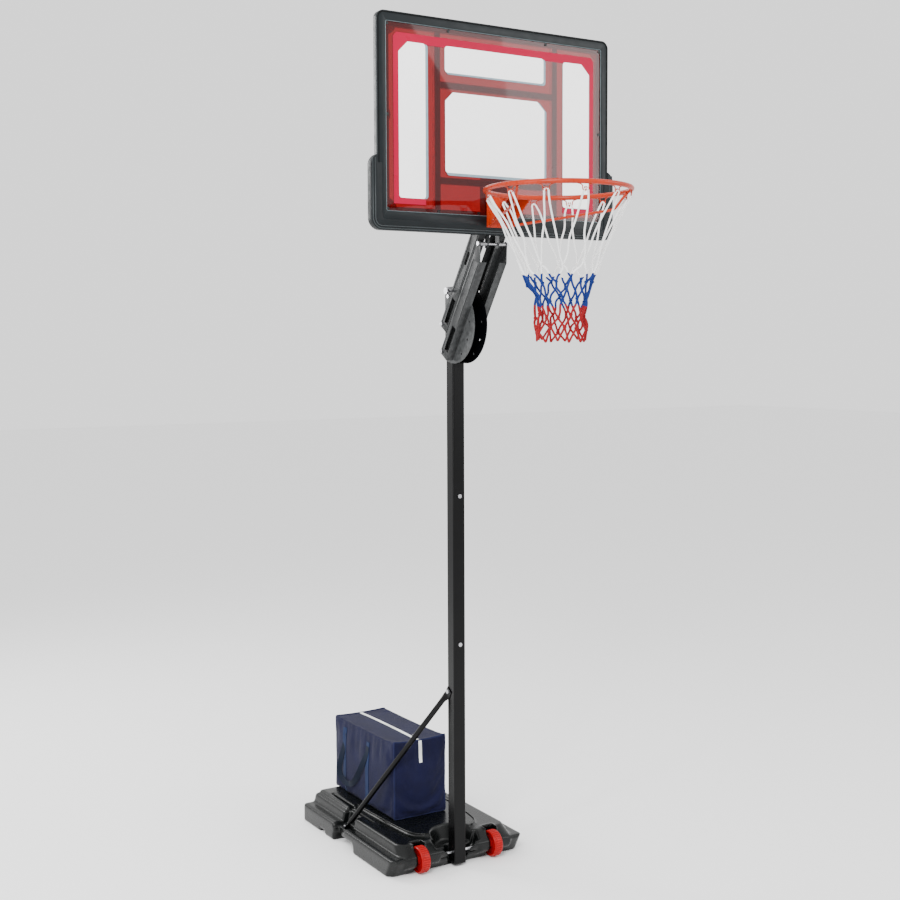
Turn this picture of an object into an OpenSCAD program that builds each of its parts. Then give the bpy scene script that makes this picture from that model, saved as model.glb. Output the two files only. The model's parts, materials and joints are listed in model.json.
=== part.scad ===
// Portable basketball hoop: a ballast base on wheels, a three-piece square pole, a swinging
// four-arm lift that keeps the board upright, and a clear board with a rim and net.
// The board faces -Y. The origin is on the floor, in the middle of the whole outline.

/* [Pole] */
// Distance from the origin back to the pole's axis
pole_y = 65; // [55:1:75]
// Side of the square pole tube
pole_side = 50; // [50:1:52]
// Wall of the pole tube
pole_wall = 2; // [1.5:0.5:2.5]
// Top of the lower pole tube
lower_top = 787; // [760:1:820]
// Top of the middle pole tube
middle_top = 1343; // [1310:1:1380]
// Top of the pole
pole_top = 2172; // [2168:1:2180]

/* [Base] */
// Half of the tank's width
base_half_w = 290; // [280:1:300]
// Length of the tank behind the pole's axis
base_back = 755; // [740:1:770]
// Height of the tank's lower step
skirt_h = 70; // [66:1:74]
// Height of the tank's deck
deck_h = 120; // [116:1:124]
// Radius of the wheels
wheel_r = 50; // [46:1:50]
// Width of each wheel
wheel_w = 36; // [32:1:38]
// Distance of each wheel from the middle
wheel_x = 160; // [156:1:164]

/* [Weight bag] */
// Width of the bag
bag_w = 238; // [220:1:240]
// Length of the bag
bag_l = 514; // [500:1:524]
// Height of the bag
bag_h = 306; // [290:1:320]

/* [Height mechanism] */
// Height of the upper arms' pivot on the pole
upper_pivot_z = 2040; // [2030:1:2050]
// Distance between the upper and lower pivots
pivot_gap = 100; // [98:1:110]
// Length of each arm from pivot to pivot
arm_l = 450; // [446:1:452]
// Slope of the arms above level in the highest setting
rest_angle = 56; // [54:1:56]
// Width of each arm
arm_w = 52; // [48:1:52]
// Radius of the ring of index holes
index_r = 140; // [138:1:142]
// Turn between two index holes
index_step = 27; // [24:1:28]

/* [Board] */
// Half of the board frame's width
board_half_w = 474; // [460:1:480]
// Bottom of the board frame
board_z0 = 2362; // [2360:1:2364]
// Top of the board frame
board_z1 = 3053; // [3040:1:3060]
// Front face of the board frame, ahead of the pole's axis
board_front = 292; // [292:1:294]
// Depth of the board frame
board_depth = 24; // [22:1:24]

/* [Rim and net] */
// Inner radius of the rim
rim_inner_r = 228.6; // [228:0.1:229]
// Radius of the rim's rod
rod_r = 8; // [7:0.5:9]
// Distance from the pole's axis to the rim's centre
rim_reach = 645; // [640:1:650]
// Height of the rim's rod centre
rim_z = 2461; // [2456:1:2466]
// Bottom of the net
net_z0 = 1980; // [1960:1:2000]

/* [Hidden] */
$fn = 48;
eps = 0.01;

// Fits: hole over a fixed bolt, hole over a bolt that turns, and gap between moving faces
bolt_r = 4;
fixed_hole_r = bolt_r + 0.3;
turning_hole_r = bolt_r + 0.05;
open_hole_r = bolt_r + 0.4;
head_r = 7.5;
head_h = 5;
washer = 0.4;

// Pole
corner_r = 6;
foot_z = 14;
spigot_l = 110;
joint_bolt_rise = 62;
half_pole = pole_side / 2;

// Base
axle_z = wheel_r + 2;
axle_r = 5;
axle_half_l = 214;
housing_r = 27;
well_half_w = wheel_w / 2 + 5;
well_r = wheel_r + 9;
front_y = -26;
front_foot_y = 14;
slot_y = 42;
notch_y = [378, 476];
notch_floor = 55;
notch_in_x = 210;
brace_r = 11;
brace_top = [29.5, 12, 667];
brace_foot = [248, 446, notch_floor];
filler_at = [150, 655];
filler_r = 22;

// Bag: it rests on the deck
bag_x = -21;
bag_y0 = 238;
bag_corner = 26;
bag_top = deck_h + bag_h;

// Mechanism
plate_t = 2.5;
plate_x = half_pole + plate_t;
arm_in_x = plate_x + 0.6;
arm_out_x = arm_in_x + 28;
arm_sheet = 2;
arm_rear = 10;
arm_front = arm_w - arm_rear;
chamfer_l = 50;
tip = arm_l * [0, -cos(rest_angle), sin(rest_angle)];
lower_pivot_z = upper_pivot_z - pivot_gap;
dee_r = 140;
dee_centre = [-36, upper_pivot_z - 5];
index_count = 5;
spacer_r = 7;
bush_r = 7;
pin_out_x = arm_out_x + 20;
pin_in_x = plate_x + 1.5;

// Board: distances along Y from the pole's axis
panel_t = 4;
lip_t = 3;
frame_front = -board_front;
frame_back = frame_front + board_depth;
panel_front = frame_front + lip_t;
panel_back = panel_front + panel_t;
board_mid_z = (board_z0 + board_z1) / 2;
bar_w = 33;
bottom_bar = 43;
screw_r = 2;
screw_l = 8;
screw_x = board_half_w - bar_w - 6;
screw_places = [
    for (x = [-screw_x, -200, 200, screw_x]) [x, board_z1 - bar_w - 7],
    for (x = [-screw_x, screw_x]) [x, board_mid_z + 12],
    for (x = [-screw_x, -240, -80, 80, 240, screw_x]) [x, board_z0 + bottom_bar + 7]];
plate_back_y = frame_back + 3;
bracket_x = 20;
bracket_t = 3;
rail_w = 22;
rail_x = 230;
upper_rail_z = 2834;
lower_rail_z = 2516;

// Rim
ring_r = rim_inner_r + rod_r;
rim_plate_t = 3;
rim_plate_back = frame_front - 2;
rim_plate_front = rim_plate_back - rim_plate_t;
small_bolt_r = 3;
small_hole_r = small_bolt_r + 0.3;
low_bolts_z = board_z0 + 26;
high_bolts_z = board_z0 + 86;
rim_bolt_places = [for (x = [-31, 31], z = [low_bolts_z, high_bolts_z]) [x, z]];
rail_bolt_places = [for (x = [-45, 45]) [x, lower_rail_z]];
hook_count = 12;
hook_drop = 15;
hook_wire = 2;
brace_rod_r = 4.5;

// ---------- helpers ----------

// Moves a piece drawn about the pole's axis to its place
module at_pole() { translate([0, pole_y, 0]) children(); }

// Draws a piece on both sides of the middle
module both_sides() {
    children();
    mirror([1, 0, 0]) children();
}

// Square with round corners, in exact arcs
module round_box(size_x, size_y, r, height) {
    linear_extrude(height) {
        square([size_x - 2 * r, size_y], center = true);
        square([size_x, size_y - 2 * r], center = true);
        for (x = [-1, 1], y = [-1, 1])
            translate([x * (size_x / 2 - r), y * (size_y / 2 - r)]) circle(r);
    }
}

// Upright slab in the X-Z plane from z0 to z1, with its front face at y
module slab(half_w, z0, z1, r, y, depth) {
    translate([0, y + depth, (z0 + z1) / 2]) rotate([90, 0, 0])
        round_box(2 * half_w, z1 - z0, r, depth);
}

// Round rod between two points
module rod(a, b, r) {
    d = b - a;
    translate(a) rotate([0, acos(d.z / norm(d)), atan2(d.y, d.x)]) cylinder(h = norm(d), r = r);
}

// Round rod along X at one place of the Y-Z plane
module cross_rod(x0, x1, y, z, r) {
    translate([x0, y, z]) rotate([0, 90, 0]) cylinder(h = x1 - x0, r = r);
}

// Round rod along Y at one place of the X-Z plane
module rod_y(y0, y1, x, z, r) {
    translate([x, y0, z]) rotate([-90, 0, 0]) cylinder(h = y1 - y0, r = r);
}

// Hexagon head or nut along X
module cross_hex(x0, x1, y, z, r) {
    translate([x0, y, z]) rotate([0, 90, 0]) cylinder(h = x1 - x0, r = r, $fn = 6);
}

// Frame of the arms at rest: x runs up the arm, y to its front edge and z to the right
module along_arm(pivot_z) {
    translate([0, 0, pivot_z]) rotate([180 - rest_angle, 0, 0]) rotate([90, 0, 90]) children();
}

// ---------- base ----------

module skirt_outline(front, half_w) {
    hull() for (x = [-1, 1]) {
        translate([x * (half_w - 24), base_back - 24]) circle(24, $fn = 32);
        translate([x * (half_w - 36), front + 36]) circle(36, $fn = 32);
    }
}

// Outer shape: a skirt that leans back at the front, a step, the deck and the axle housings
module base_steps() {
    hull() {
        linear_extrude(1) skirt_outline(front_foot_y, base_half_w - 3);
        translate([0, 0, 30]) linear_extrude(1) skirt_outline(front_y + 14, base_half_w);
        translate([0, 0, skirt_h - 1]) linear_extrude(1) skirt_outline(front_y, base_half_w - 3);
    }
    hull() {
        translate([0, 356, skirt_h - 1]) round_box(488, 754, 30, 1, $fn = 32);
        translate([0, 377, skirt_h + 37]) round_box(470, 696, 40, 1, $fn = 32);
    }
    hull() {
        translate([0, 380, skirt_h + 36]) round_box(462, 684, 40, 1, $fn = 32);
        translate([0, 405, deck_h - 1]) round_box(364, 622, 50, 1, $fn = 32);
    }
    hull() {
        translate([0, 600, skirt_h + 36]) round_box(466, 244, 20, 1, $fn = 32);
        translate([0, 598, deck_h - 1]) round_box(440, 212, 20, 1, $fn = 32);
    }
    both_sides() cross_rod(60, 150 + well_half_w + 56, 0, axle_z, housing_r);
}

// Slot that a wheel turns in, open at the front and through the deck
module wheel_well() {
    cross_rod(wheel_x - well_half_w, wheel_x + well_half_w, 0, axle_z, well_r);
    translate([wheel_x - well_half_w, front_y - 30, -1]) cube([2 * well_half_w, 30 - front_y, deck_h]);
    translate([wheel_x - well_half_w, -10, axle_z]) cube([2 * well_half_w, slot_y + 10, deck_h]);
}

module brace_notch() {
    translate([notch_in_x, notch_y[0], notch_floor]) cube([100, notch_y[1] - notch_y[0], 80]);
    translate([base_half_w - 50, 305, -1]) cube([60, 165, 42]);
    translate([base_half_w - 50, 550, -1]) cube([60, 45, 14]);
}

// Valley that the pole's foot stands in, open to the front, with a round back
module foot_pocket() {
    rotate([-90, 0, 0]) translate([0, 0, front_y - 30]) linear_extrude(60 - front_y)
        polygon([[-34, -6], [34, -6], [88, -54], [104, -deck_h - 1], [-104, -deck_h - 1], [-88, -54]]);
    translate([0, 29, 6]) cylinder(h = deck_h, r = 34);
    translate([0, 24, 62]) cylinder(h = deck_h, r1 = 76, r2 = 110);
}

module base_tank() {
    color([0.10, 0.11, 0.11]) at_pole() difference() {
        base_steps();
        both_sides() {
            wheel_well();
            brace_notch();
        }
        foot_pocket();
        cross_rod(-axle_half_l, axle_half_l, 0, axle_z, axle_r + 0.3);
        translate([filler_at.x, filler_at.y, deck_h - 60]) cylinder(h = 80, r = filler_r);
        both_sides() translate([brace_foot.x, brace_foot.y, notch_floor - 16])
            cylinder(h = 20, r = fixed_hole_r);
    }
}

module filler_cap() {
    color([0.07, 0.07, 0.07]) at_pole() translate([filler_at.x, filler_at.y, 0]) {
        translate([0, 0, deck_h - 18]) cylinder(h = 21, r = filler_r - 1);
        translate([0, 0, deck_h + 3]) cylinder(h = 7, r = filler_r + 8);
        for (a = [0 : 30 : 330]) rotate([0, 0, a])
            translate([filler_r + 7, -2, deck_h + 3]) cube([3, 4, 7]);
    }
}

module cap_seal() {
    color([0.15, 0.15, 0.15]) at_pole() translate([filler_at.x, filler_at.y, deck_h + 0.5])
        difference() {
            cylinder(h = 2.5, r = filler_r + 5);
            translate([0, 0, -1]) cylinder(h = 5, r = filler_r - 1);
        }
}

// ---------- wheels ----------

module axle_rod() {
    color([0.80, 0.80, 0.82]) at_pole() cross_rod(-axle_half_l + 8, axle_half_l - 8, 0, axle_z, axle_r);
}

module axle_caps() {
    color([0.75, 0.75, 0.77]) at_pole() both_sides() difference() {
        cross_rod(axle_half_l - 12, axle_half_l - 6, 0, axle_z, axle_r + 0.2);
        cross_rod(axle_half_l - 13, axle_half_l - 8, 0, axle_z, axle_r);
    }
}

module wheel(x) {
    tread_count = 36;
    at_pole() translate([x, 0, axle_z]) rotate([0, 90, 0]) difference() {
        union() {
            rotate_extrude() polygon([[axle_r + 0.05, -wheel_w / 2], [15, -wheel_w / 2],
                [15, -wheel_w / 2 + 8], [wheel_r - 11, -wheel_w / 2 + 8], [wheel_r - 9, -wheel_w / 2],
                [wheel_r - 4, -wheel_w / 2], [wheel_r - 1.5, -wheel_w / 2 + 3],
                [wheel_r - 1.5, wheel_w / 2 - 3], [wheel_r - 4, wheel_w / 2], [wheel_r - 9, wheel_w / 2],
                [wheel_r - 11, wheel_w / 2 - 8], [15, wheel_w / 2 - 8], [15, wheel_w / 2],
                [axle_r + 0.05, wheel_w / 2]]);
            for (i = [0 : tread_count - 1]) rotate([0, 0, i * 360 / tread_count])
                translate([wheel_r - 5, -1.6, -wheel_w / 2 + 5]) cube([5, 3.2, wheel_w - 10]);
        }
    }
}

module wheel_left() { color([0.90, 0.10, 0.12]) wheel(-wheel_x); }

module wheel_right() { color([0.90, 0.10, 0.12]) wheel(wheel_x); }

// ---------- pole ----------

module pole_tube(z0, z1, spigot) {
    inner = pole_side - 2 * pole_wall;
    spigot_side = inner - 0.6;
    difference() {
        union() {
            translate([0, 0, z0]) round_box(pole_side, pole_side, corner_r, z1 - z0);
            if (spigot) translate([0, 0, z1 - 1])
                round_box(spigot_side, spigot_side, corner_r - pole_wall, spigot_l);
        }
        translate([0, 0, z0 - 1])
            round_box(inner, inner, corner_r - pole_wall, z1 - z0 - (spigot ? 6 : -2));
        if (spigot) translate([0, 0, z1 - 12])
            round_box(spigot_side - 2 * pole_wall, spigot_side - 2 * pole_wall, 2, spigot_l + 30);
    }
}

module joint_hole(z) { rod_y(-half_pole - 5, half_pole + 5, 0, z, fixed_hole_r); }

module pole_lower() {
    color([0.06, 0.06, 0.06]) at_pole() difference() {
        pole_tube(foot_z, lower_top, true);
        cross_rod(-half_pole - 5, half_pole + 5, 0, axle_z, axle_r + 0.3);
        cross_rod(-half_pole - 5, half_pole + 5, brace_top.y, brace_top.z, fixed_hole_r);
        joint_hole(lower_top + joint_bolt_rise);
    }
}

module pole_middle() {
    color([0.06, 0.06, 0.06]) at_pole() difference() {
        pole_tube(lower_top, middle_top, true);
        joint_hole(lower_top + joint_bolt_rise);
        joint_hole(middle_top + joint_bolt_rise);
    }
}

module pole_upper() {
    color([0.06, 0.06, 0.06]) at_pole() difference() {
        pole_tube(middle_top, pole_top, false);
        joint_hole(middle_top + joint_bolt_rise);
        for (z = [lower_pivot_z, upper_pivot_z, upper_pivot_z + pivot_gap])
            cross_rod(-half_pole - 5, half_pole + 5, 0, z, fixed_hole_r);
    }
}

module pole_foot_cap() {
    color([0.05, 0.05, 0.05]) at_pole() {
        translate([0, 0, foot_z - 4]) round_box(pole_side, pole_side, corner_r, 4);
        translate([0, 0, foot_z - 1]) round_box(pole_side - 2 * pole_wall, pole_side - 2 * pole_wall,
            corner_r - pole_wall, 14);
    }
}

module pole_top_cap() {
    color([0.05, 0.05, 0.05]) at_pole() {
        translate([0, 0, pole_top]) round_box(pole_side, pole_side, corner_r, 3);
        translate([0, 0, pole_top - 13]) round_box(pole_side - 2 * pole_wall,
            pole_side - 2 * pole_wall, corner_r - pole_wall, 14);
    }
}

module pole_joint_bolts() {
    color([0.85, 0.85, 0.86]) at_pole() for (z = [lower_top, middle_top]) {
        rod_y(-half_pole - 1, half_pole + 9, 0, z + joint_bolt_rise, bolt_r);
        rod_y(-half_pole - head_h, -half_pole, 0, z + joint_bolt_rise, head_r);
    }
}

module pole_joint_nuts() {
    color([0.85, 0.85, 0.86]) at_pole() for (z = [lower_top, middle_top]) difference() {
        translate([0, half_pole, z + joint_bolt_rise]) rotate([-90, 0, 0])
            cylinder(h = 6, r = head_r, $fn = 6);
        rod_y(half_pole - 1, half_pole + 8, 0, z + joint_bolt_rise, bolt_r);
    }
}

// ---------- braces ----------

// Round tube with a flat tab at each end and a spot face for its bolt
module brace() {
    tab_t = 4;
    tab_x = half_pole + 0.2;
    tube_top = brace_top + [5, 22, -30];
    tube_foot = brace_foot + [-8, -30, 24];
    difference() {
        union() {
            rod(tube_top, tube_foot, brace_r);
            hull() {
                cross_rod(tab_x, tab_x + tab_t, brace_top.y, brace_top.z, 13, $fn = 32);
                translate(tube_top) sphere(brace_r - 2, $fn = 24);
            }
            hull() {
                translate(brace_foot) cylinder(h = tab_t, r = 15, $fn = 32);
                translate(tube_foot) sphere(brace_r - 2, $fn = 24);
            }
        }
        cross_rod(half_pole - 5, tab_x + 5, brace_top.y, brace_top.z, fixed_hole_r);
        cross_rod(tab_x + tab_t, tab_x + 40, brace_top.y, brace_top.z, head_r + 1);
        translate(brace_foot - [0, 0, 5]) cylinder(h = 30, r = fixed_hole_r);
        translate(brace_foot + [0, 0, tab_t]) cylinder(h = 40, r = head_r + 1);
    }
}

module brace_left() { color([0.07, 0.07, 0.07]) at_pole() mirror([1, 0, 0]) brace(); }

module brace_right() { color([0.07, 0.07, 0.07]) at_pole() brace(); }

module brace_top_bolt() {
    color([0.80, 0.80, 0.82]) at_pole() {
        x = half_pole + 4.3;
        cross_rod(-x, x + 10, brace_top.y, brace_top.z, bolt_r);
        cross_rod(-x - head_h, -x, brace_top.y, brace_top.z, head_r);
        cross_hex(x, x + 6, brace_top.y, brace_top.z, head_r);
    }
}

module brace_anchor_bolts() {
    color([0.80, 0.80, 0.82]) at_pole() both_sides() translate(brace_foot) {
        translate([0, 0, -15]) cylinder(h = 20, r = bolt_r);
        translate([0, 0, 4.1]) cylinder(h = 5, r = head_r);
    }
}

// ---------- weight bag ----------

module ballast_bag() {
    color([0.11, 0.13, 0.30]) at_pole() translate([bag_x, bag_y0 + bag_l / 2, deck_h]) hull() {
        round_box(bag_w - 24, bag_l - 24, bag_corner - 8, 1, $fn = 32);
        translate([0, 0, 12]) round_box(bag_w, bag_l, bag_corner, bag_h - 24, $fn = 32);
        translate([0, 0, bag_h - 1]) round_box(bag_w - 24, bag_l - 24, bag_corner - 8, 1, $fn = 32);
    }
}

// Webbing handle that hangs flat on the bag's side as a U
module bag_handle(side) {
    strap_t = 4;
    strap_w = 24;
    leg = 80;
    grip_r = 112;
    mid_y = bag_y0 + 312;
    low_z = deck_h + 160;
    at_pole() translate([bag_x + side * (bag_w / 2 + strap_t / 2) - strap_t / 2, mid_y, low_z])
        rotate([90, 0, 90]) difference() {
            union() {
                cylinder(h = strap_t, r = grip_r);
                translate([-grip_r, 0, 0]) cube([2 * grip_r, leg, strap_t]);
            }
            translate([-grip_r, leg, -1]) cube([2 * grip_r, grip_r, strap_t + 2]);
            translate([0, 0, -1]) cylinder(h = strap_t + 2, r = grip_r - strap_w);
            translate([strap_w - grip_r, 0, -1])
                cube([2 * (grip_r - strap_w), grip_r + leg, strap_t + 2]);
        }
}

module bag_handle_left() { color([0.08, 0.09, 0.22]) bag_handle(-1); }

module bag_handle_right() { color([0.08, 0.09, 0.22]) bag_handle(1); }

module zip_slider() {
    color([0.75, 0.76, 0.78]) at_pole() translate([bag_x, bag_y0 + 36, bag_top + 0.4]) {
        translate([-5, -7, 0]) cube([10, 14, 5]);
        translate([-3, 5, 2]) cube([6, 26, 2]);
    }
}

// ---------- height mechanism ----------

// Plate on the side of the pole, flat at the back, with a ring of index holes round the pivot
module index_plate() {
    difference() {
        intersection() {
            cross_rod(half_pole, plate_x, dee_centre.x, dee_centre.y, dee_r, $fn = 96);
            translate([half_pole - 1, half_pole - 400, upper_pivot_z - 200]) cube([10, 400, 400]);
        }
        for (z = [lower_pivot_z, upper_pivot_z, upper_pivot_z + pivot_gap])
            cross_rod(half_pole - 5, plate_x + 5, 0, z, fixed_hole_r);
        for (i = [0 : index_count - 1]) {
            a = rest_angle - i * index_step;
            cross_rod(half_pole - 5, plate_x + 5, -index_r * cos(a), upper_pivot_z + index_r * sin(a),
                bolt_r + 0.6);
        }
    }
}

module index_plate_left() { color([0.52, 0.53, 0.55]) at_pole() mirror([1, 0, 0]) index_plate(); }

module index_plate_right() { color([0.52, 0.53, 0.55]) at_pole() index_plate(); }

module plate_bolt() {
    z = upper_pivot_z + pivot_gap;
    color([0.85, 0.85, 0.86]) at_pole() {
        cross_rod(-plate_x, plate_x + 8, 0, z, bolt_r);
        cross_rod(-plate_x - head_h, -plate_x, 0, z, head_r);
        cross_hex(plate_x, plate_x + 5, 0, z, head_r);
    }
}

// Outline of an arm's web: square at the foot, with a slanted front corner at the round tip
module arm_outline() {
    run = sqrt(pow(chamfer_l, 2) + pow(arm_front, 2));
    slope = atan2(arm_front, -chamfer_l) - acos(arm_rear / run);
    polygon([[-12, -arm_rear], [arm_l, -arm_rear],
        [arm_l + arm_rear * cos(slope), arm_rear * sin(slope)],
        [arm_l - chamfer_l, arm_front], [-12, arm_front]]);
    translate([arm_l, 0]) circle(arm_rear);
}

// Right-hand channel with its open side to the middle; tip_hole_r is the bore at the board end
module arm(pivot_z, tip_hole_r, upper) {
    web_z = arm_out_x - arm_sheet;
    along_arm(pivot_z) difference() {
        union() {
            translate([0, 0, web_z]) linear_extrude(arm_sheet) arm_outline();
            translate([-12, -arm_rear, arm_in_x]) cube([arm_l + 12, arm_sheet, web_z - arm_in_x + eps]);
            translate([-12, arm_front - arm_sheet, arm_in_x])
                cube([arm_l - chamfer_l + 12, arm_sheet, web_z - arm_in_x + eps]);
            for (y = [-5, arm_front - 11])
                translate([152, y, arm_out_x - 1]) cube([arm_l - 215, 5, 2.2]);
        }
        translate([0, 0, web_z - 5]) cylinder(h = 20, r = turning_hole_r);
        translate([arm_l, 0, web_z - 5]) cylinder(h = 20, r = tip_hole_r);
        translate([16, 9, web_z - 5]) cube([102, arm_front - 15, 20]);
        if (upper) {
            translate([index_r, 0, web_z - 5]) cylinder(h = 20, r = turning_hole_r);
            translate([266, 10, web_z - 5]) cube([38, 15, 20]);
            for (x = [266, 304]) translate([x, 17.5, web_z - 5]) cylinder(h = 20, r = 7.5);
        }
    }
}

module upper_arm_left() {
    color([0.45, 0.46, 0.48]) at_pole() mirror([1, 0, 0]) arm(upper_pivot_z, turning_hole_r, true);
}

module upper_arm_right() {
    color([0.45, 0.46, 0.48]) at_pole() arm(upper_pivot_z, turning_hole_r, true);
}

module lower_arm_left() {
    color([0.45, 0.46, 0.48]) at_pole() mirror([1, 0, 0]) arm(lower_pivot_z, open_hole_r, false);
}

module lower_arm_right() {
    color([0.45, 0.46, 0.48]) at_pole() arm(lower_pivot_z, open_hole_r, false);
}

// Bolt through both arms, its head on the left and its nut on the right
module pivot_bolt(y, z) {
    cross_rod(-arm_out_x - washer - 1, arm_out_x + 12, y, z, bolt_r);
    cross_rod(-arm_out_x - washer - head_h, -arm_out_x - washer, y, z, head_r);
}

module pivot_nut(y, z) {
    difference() {
        cross_hex(arm_out_x + washer, arm_out_x + washer + 6, y, z, head_r);
        cross_rod(arm_out_x, arm_out_x + 10, y, z, bolt_r);
    }
}

// Sleeves that keep both channels at their distance
module pivot_spacer(x0, y, z) {
    both_sides() difference() {
        cross_rod(x0, arm_out_x - arm_sheet - washer, y, z, spacer_r);
        cross_rod(x0 - 1, arm_out_x, y, z, fixed_hole_r);
    }
}

module pole_pivot_bolts() {
    color([0.85, 0.85, 0.86]) at_pole() for (z = [lower_pivot_z, upper_pivot_z]) pivot_bolt(0, z);
}

module pole_pivot_nuts() {
    color([0.85, 0.85, 0.86]) at_pole() for (z = [lower_pivot_z, upper_pivot_z]) pivot_nut(0, z);
}

module pole_pivot_spacers() {
    color([0.30, 0.30, 0.31]) at_pole()
        for (z = [lower_pivot_z, upper_pivot_z]) pivot_spacer(plate_x, 0, z);
}

// Guide of the lock pin, inside the left upper arm
module pin_bush() {
    color([0.30, 0.30, 0.31]) at_pole() mirror([1, 0, 0]) along_arm(upper_pivot_z)
        translate([index_r, 0, arm_out_x - 20]) difference() {
            cylinder(h = 20 - arm_sheet, r = bush_r);
            translate([0, 0, -1]) cylinder(h = 25, r = turning_hole_r);
        }
}

// Pull pin, drawn out of the index holes, with a round knob
module lock_pin() {
    color([0.85, 0.85, 0.86]) at_pole() mirror([1, 0, 0]) along_arm(upper_pivot_z)
        translate([index_r, 0, 0]) {
            translate([0, 0, pin_in_x]) cylinder(h = pin_out_x - pin_in_x, r = bolt_r);
            translate([0, 0, pin_out_x - 1]) cylinder(h = 6, r = 8);
            translate([0, 0, pin_out_x + 4]) cylinder(h = 8, r = 12);
        }
}

module board_pivot_bolts() {
    color([0.85, 0.85, 0.86]) at_pole()
        for (z = [lower_pivot_z, upper_pivot_z]) pivot_bolt(tip.y, z + tip.z);
}

module board_pivot_nuts() {
    color([0.85, 0.85, 0.86]) at_pole()
        for (z = [lower_pivot_z, upper_pivot_z]) pivot_nut(tip.y, z + tip.z);
}

module board_pivot_spacers() {
    color([0.30, 0.30, 0.31]) at_pole()
        for (z = [lower_pivot_z, upper_pivot_z])
            pivot_spacer(bracket_x + bracket_t, tip.y, z + tip.z);
}

// ---------- board ----------

module board_bracket() {
    z_low = lower_pivot_z + tip.z;
    z_high = upper_pivot_z + tip.z;
    difference() {
        translate([bracket_x, 0, 0]) rotate([90, 0, 90]) linear_extrude(bracket_t)
            polygon([[plate_back_y, z_low + 10], [tip.y - 5, z_low - 14], [tip.y + 12, z_low - 14],
                [tip.y + 12, z_high + 16], [plate_back_y + 4, lower_rail_z + 14],
                [plate_back_y, lower_rail_z + 14]]);
        for (z = [z_low, z_high])
            cross_rod(bracket_x - 5, bracket_x + 10, tip.y, z, fixed_hole_r);
    }
}

module board_bracket_left() {
    color([0.40, 0.41, 0.43]) at_pole() mirror([1, 0, 0]) board_bracket();
}

module board_bracket_right() { color([0.40, 0.41, 0.43]) at_pole() board_bracket(); }

module bracket_back_plate() {
    color([0.40, 0.41, 0.43]) at_pole() difference() {
        slab(60, board_z0 + 12, lower_rail_z + 20, 6, frame_back, plate_back_y - frame_back);
        for (p = rim_bolt_places) rod_y(frame_back - 5, plate_back_y + 5, p.x, p.y, small_hole_r);
        for (p = rail_bolt_places) rod_y(frame_back - 5, plate_back_y + 5, p.x, p.y, small_hole_r);
    }
}

module bracket_bolts() {
    color([0.85, 0.85, 0.86]) at_pole() for (p = rail_bolt_places) {
        rod_y(panel_back + 4, plate_back_y + 1, p.x, p.y, small_bolt_r);
        rod_y(plate_back_y, plate_back_y + 4, p.x, p.y, 6);
    }
}

module board_frame() {
    color([0.12, 0.13, 0.14]) at_pole() difference() {
        slab(board_half_w, board_z0, board_z1, 27, frame_front, board_depth);
        slab(board_half_w - bar_w, board_z0 + bottom_bar, board_z1 - bar_w, 6, frame_front - 1,
            lip_t + 2);
        slab(board_half_w - bar_w + 6, board_z0 + bottom_bar - 6, board_z1 - bar_w + 6, 4,
            panel_front, panel_t);
        slab(board_half_w - bar_w - 14, board_z0 + bottom_bar + 14, board_z1 - bar_w - 14, 6,
            panel_back - 1, board_depth);
        for (x = [-31, 31]) rod_y(frame_front - 5, frame_back + 5, x, low_bolts_z, small_hole_r);
        for (p = screw_places) rod_y(panel_back - 1, panel_back + screw_l, p.x, p.y, screw_r + 0.2);
    }
}

module board_panel() {
    color([0.85, 0.30, 0.32, 0.6]) at_pole() difference() {
        slab(board_half_w - bar_w + 5, board_z0 + bottom_bar - 5, board_z1 - bar_w + 5, 3,
            panel_front, panel_t);
        for (p = screw_places) rod_y(panel_front - 5, panel_back + 5, p.x, p.y, screw_r + 0.3);
        for (x = [-31, 31]) rod_y(panel_front - 5, panel_back + 5, x, high_bolts_z, small_hole_r);
    }
}

module panel_screws() {
    color([0.10, 0.10, 0.11]) at_pole() for (p = screw_places) {
        rod_y(panel_front - 2, panel_front, p.x, p.y, 5);
        rod_y(panel_front - 1, panel_back + screw_l - 1, p.x, p.y, screw_r);
    }
}

// Edge pad: wraps the bottom of the frame and its lower corners
module board_pad() {
    pad_t = 25;
    color([0.20, 0.21, 0.22]) at_pole() difference() {
        slab(board_half_w + pad_t, board_z0 - 21, 2590, 40, frame_front - 2, board_depth + 4);
        slab(board_half_w + 0.2, board_z0 - 0.2, 2640, 27, frame_front, board_depth);
        slab(board_half_w - 16, board_z0 + 14, 2640, 12, frame_front - 4, lip_t + 6);
        slab(board_half_w - 10, board_z0 + 10, 2640, 12, frame_back - 2, 8);
        translate([-board_half_w - 1, frame_front - 10, 2560])
            cube([2 * board_half_w + 2, board_depth + 20, 100]);
    }
}

module rail(x0, x1, z0, z1) {
    color([0.25, 0.25, 0.26]) at_pole()
        translate([x0, panel_back, z0]) cube([x1 - x0, frame_back - panel_back, z1 - z0]);
}

rail_z0 = board_z0 + bottom_bar + 14;
rail_z1 = board_z1 - bar_w - 14;

module support_rail_left() { rail(-rail_x - rail_w, -rail_x, rail_z0, rail_z1); }

module support_rail_right() { rail(rail_x, rail_x + rail_w, rail_z0, rail_z1); }

module support_rail_upper() {
    rail(-rail_x, rail_x, upper_rail_z - rail_w / 2, upper_rail_z + rail_w / 2);
}

module support_rail_lower() {
    color([0.25, 0.25, 0.26]) difference() {
        rail(-rail_x, rail_x, lower_rail_z - rail_w / 2, lower_rail_z + rail_w / 2);
        at_pole() for (p = rail_bolt_places)
            rod_y(panel_back + 3, frame_back + 5, p.x, p.y, small_hole_r);
    }
}

// ---------- rim and net ----------

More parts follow.
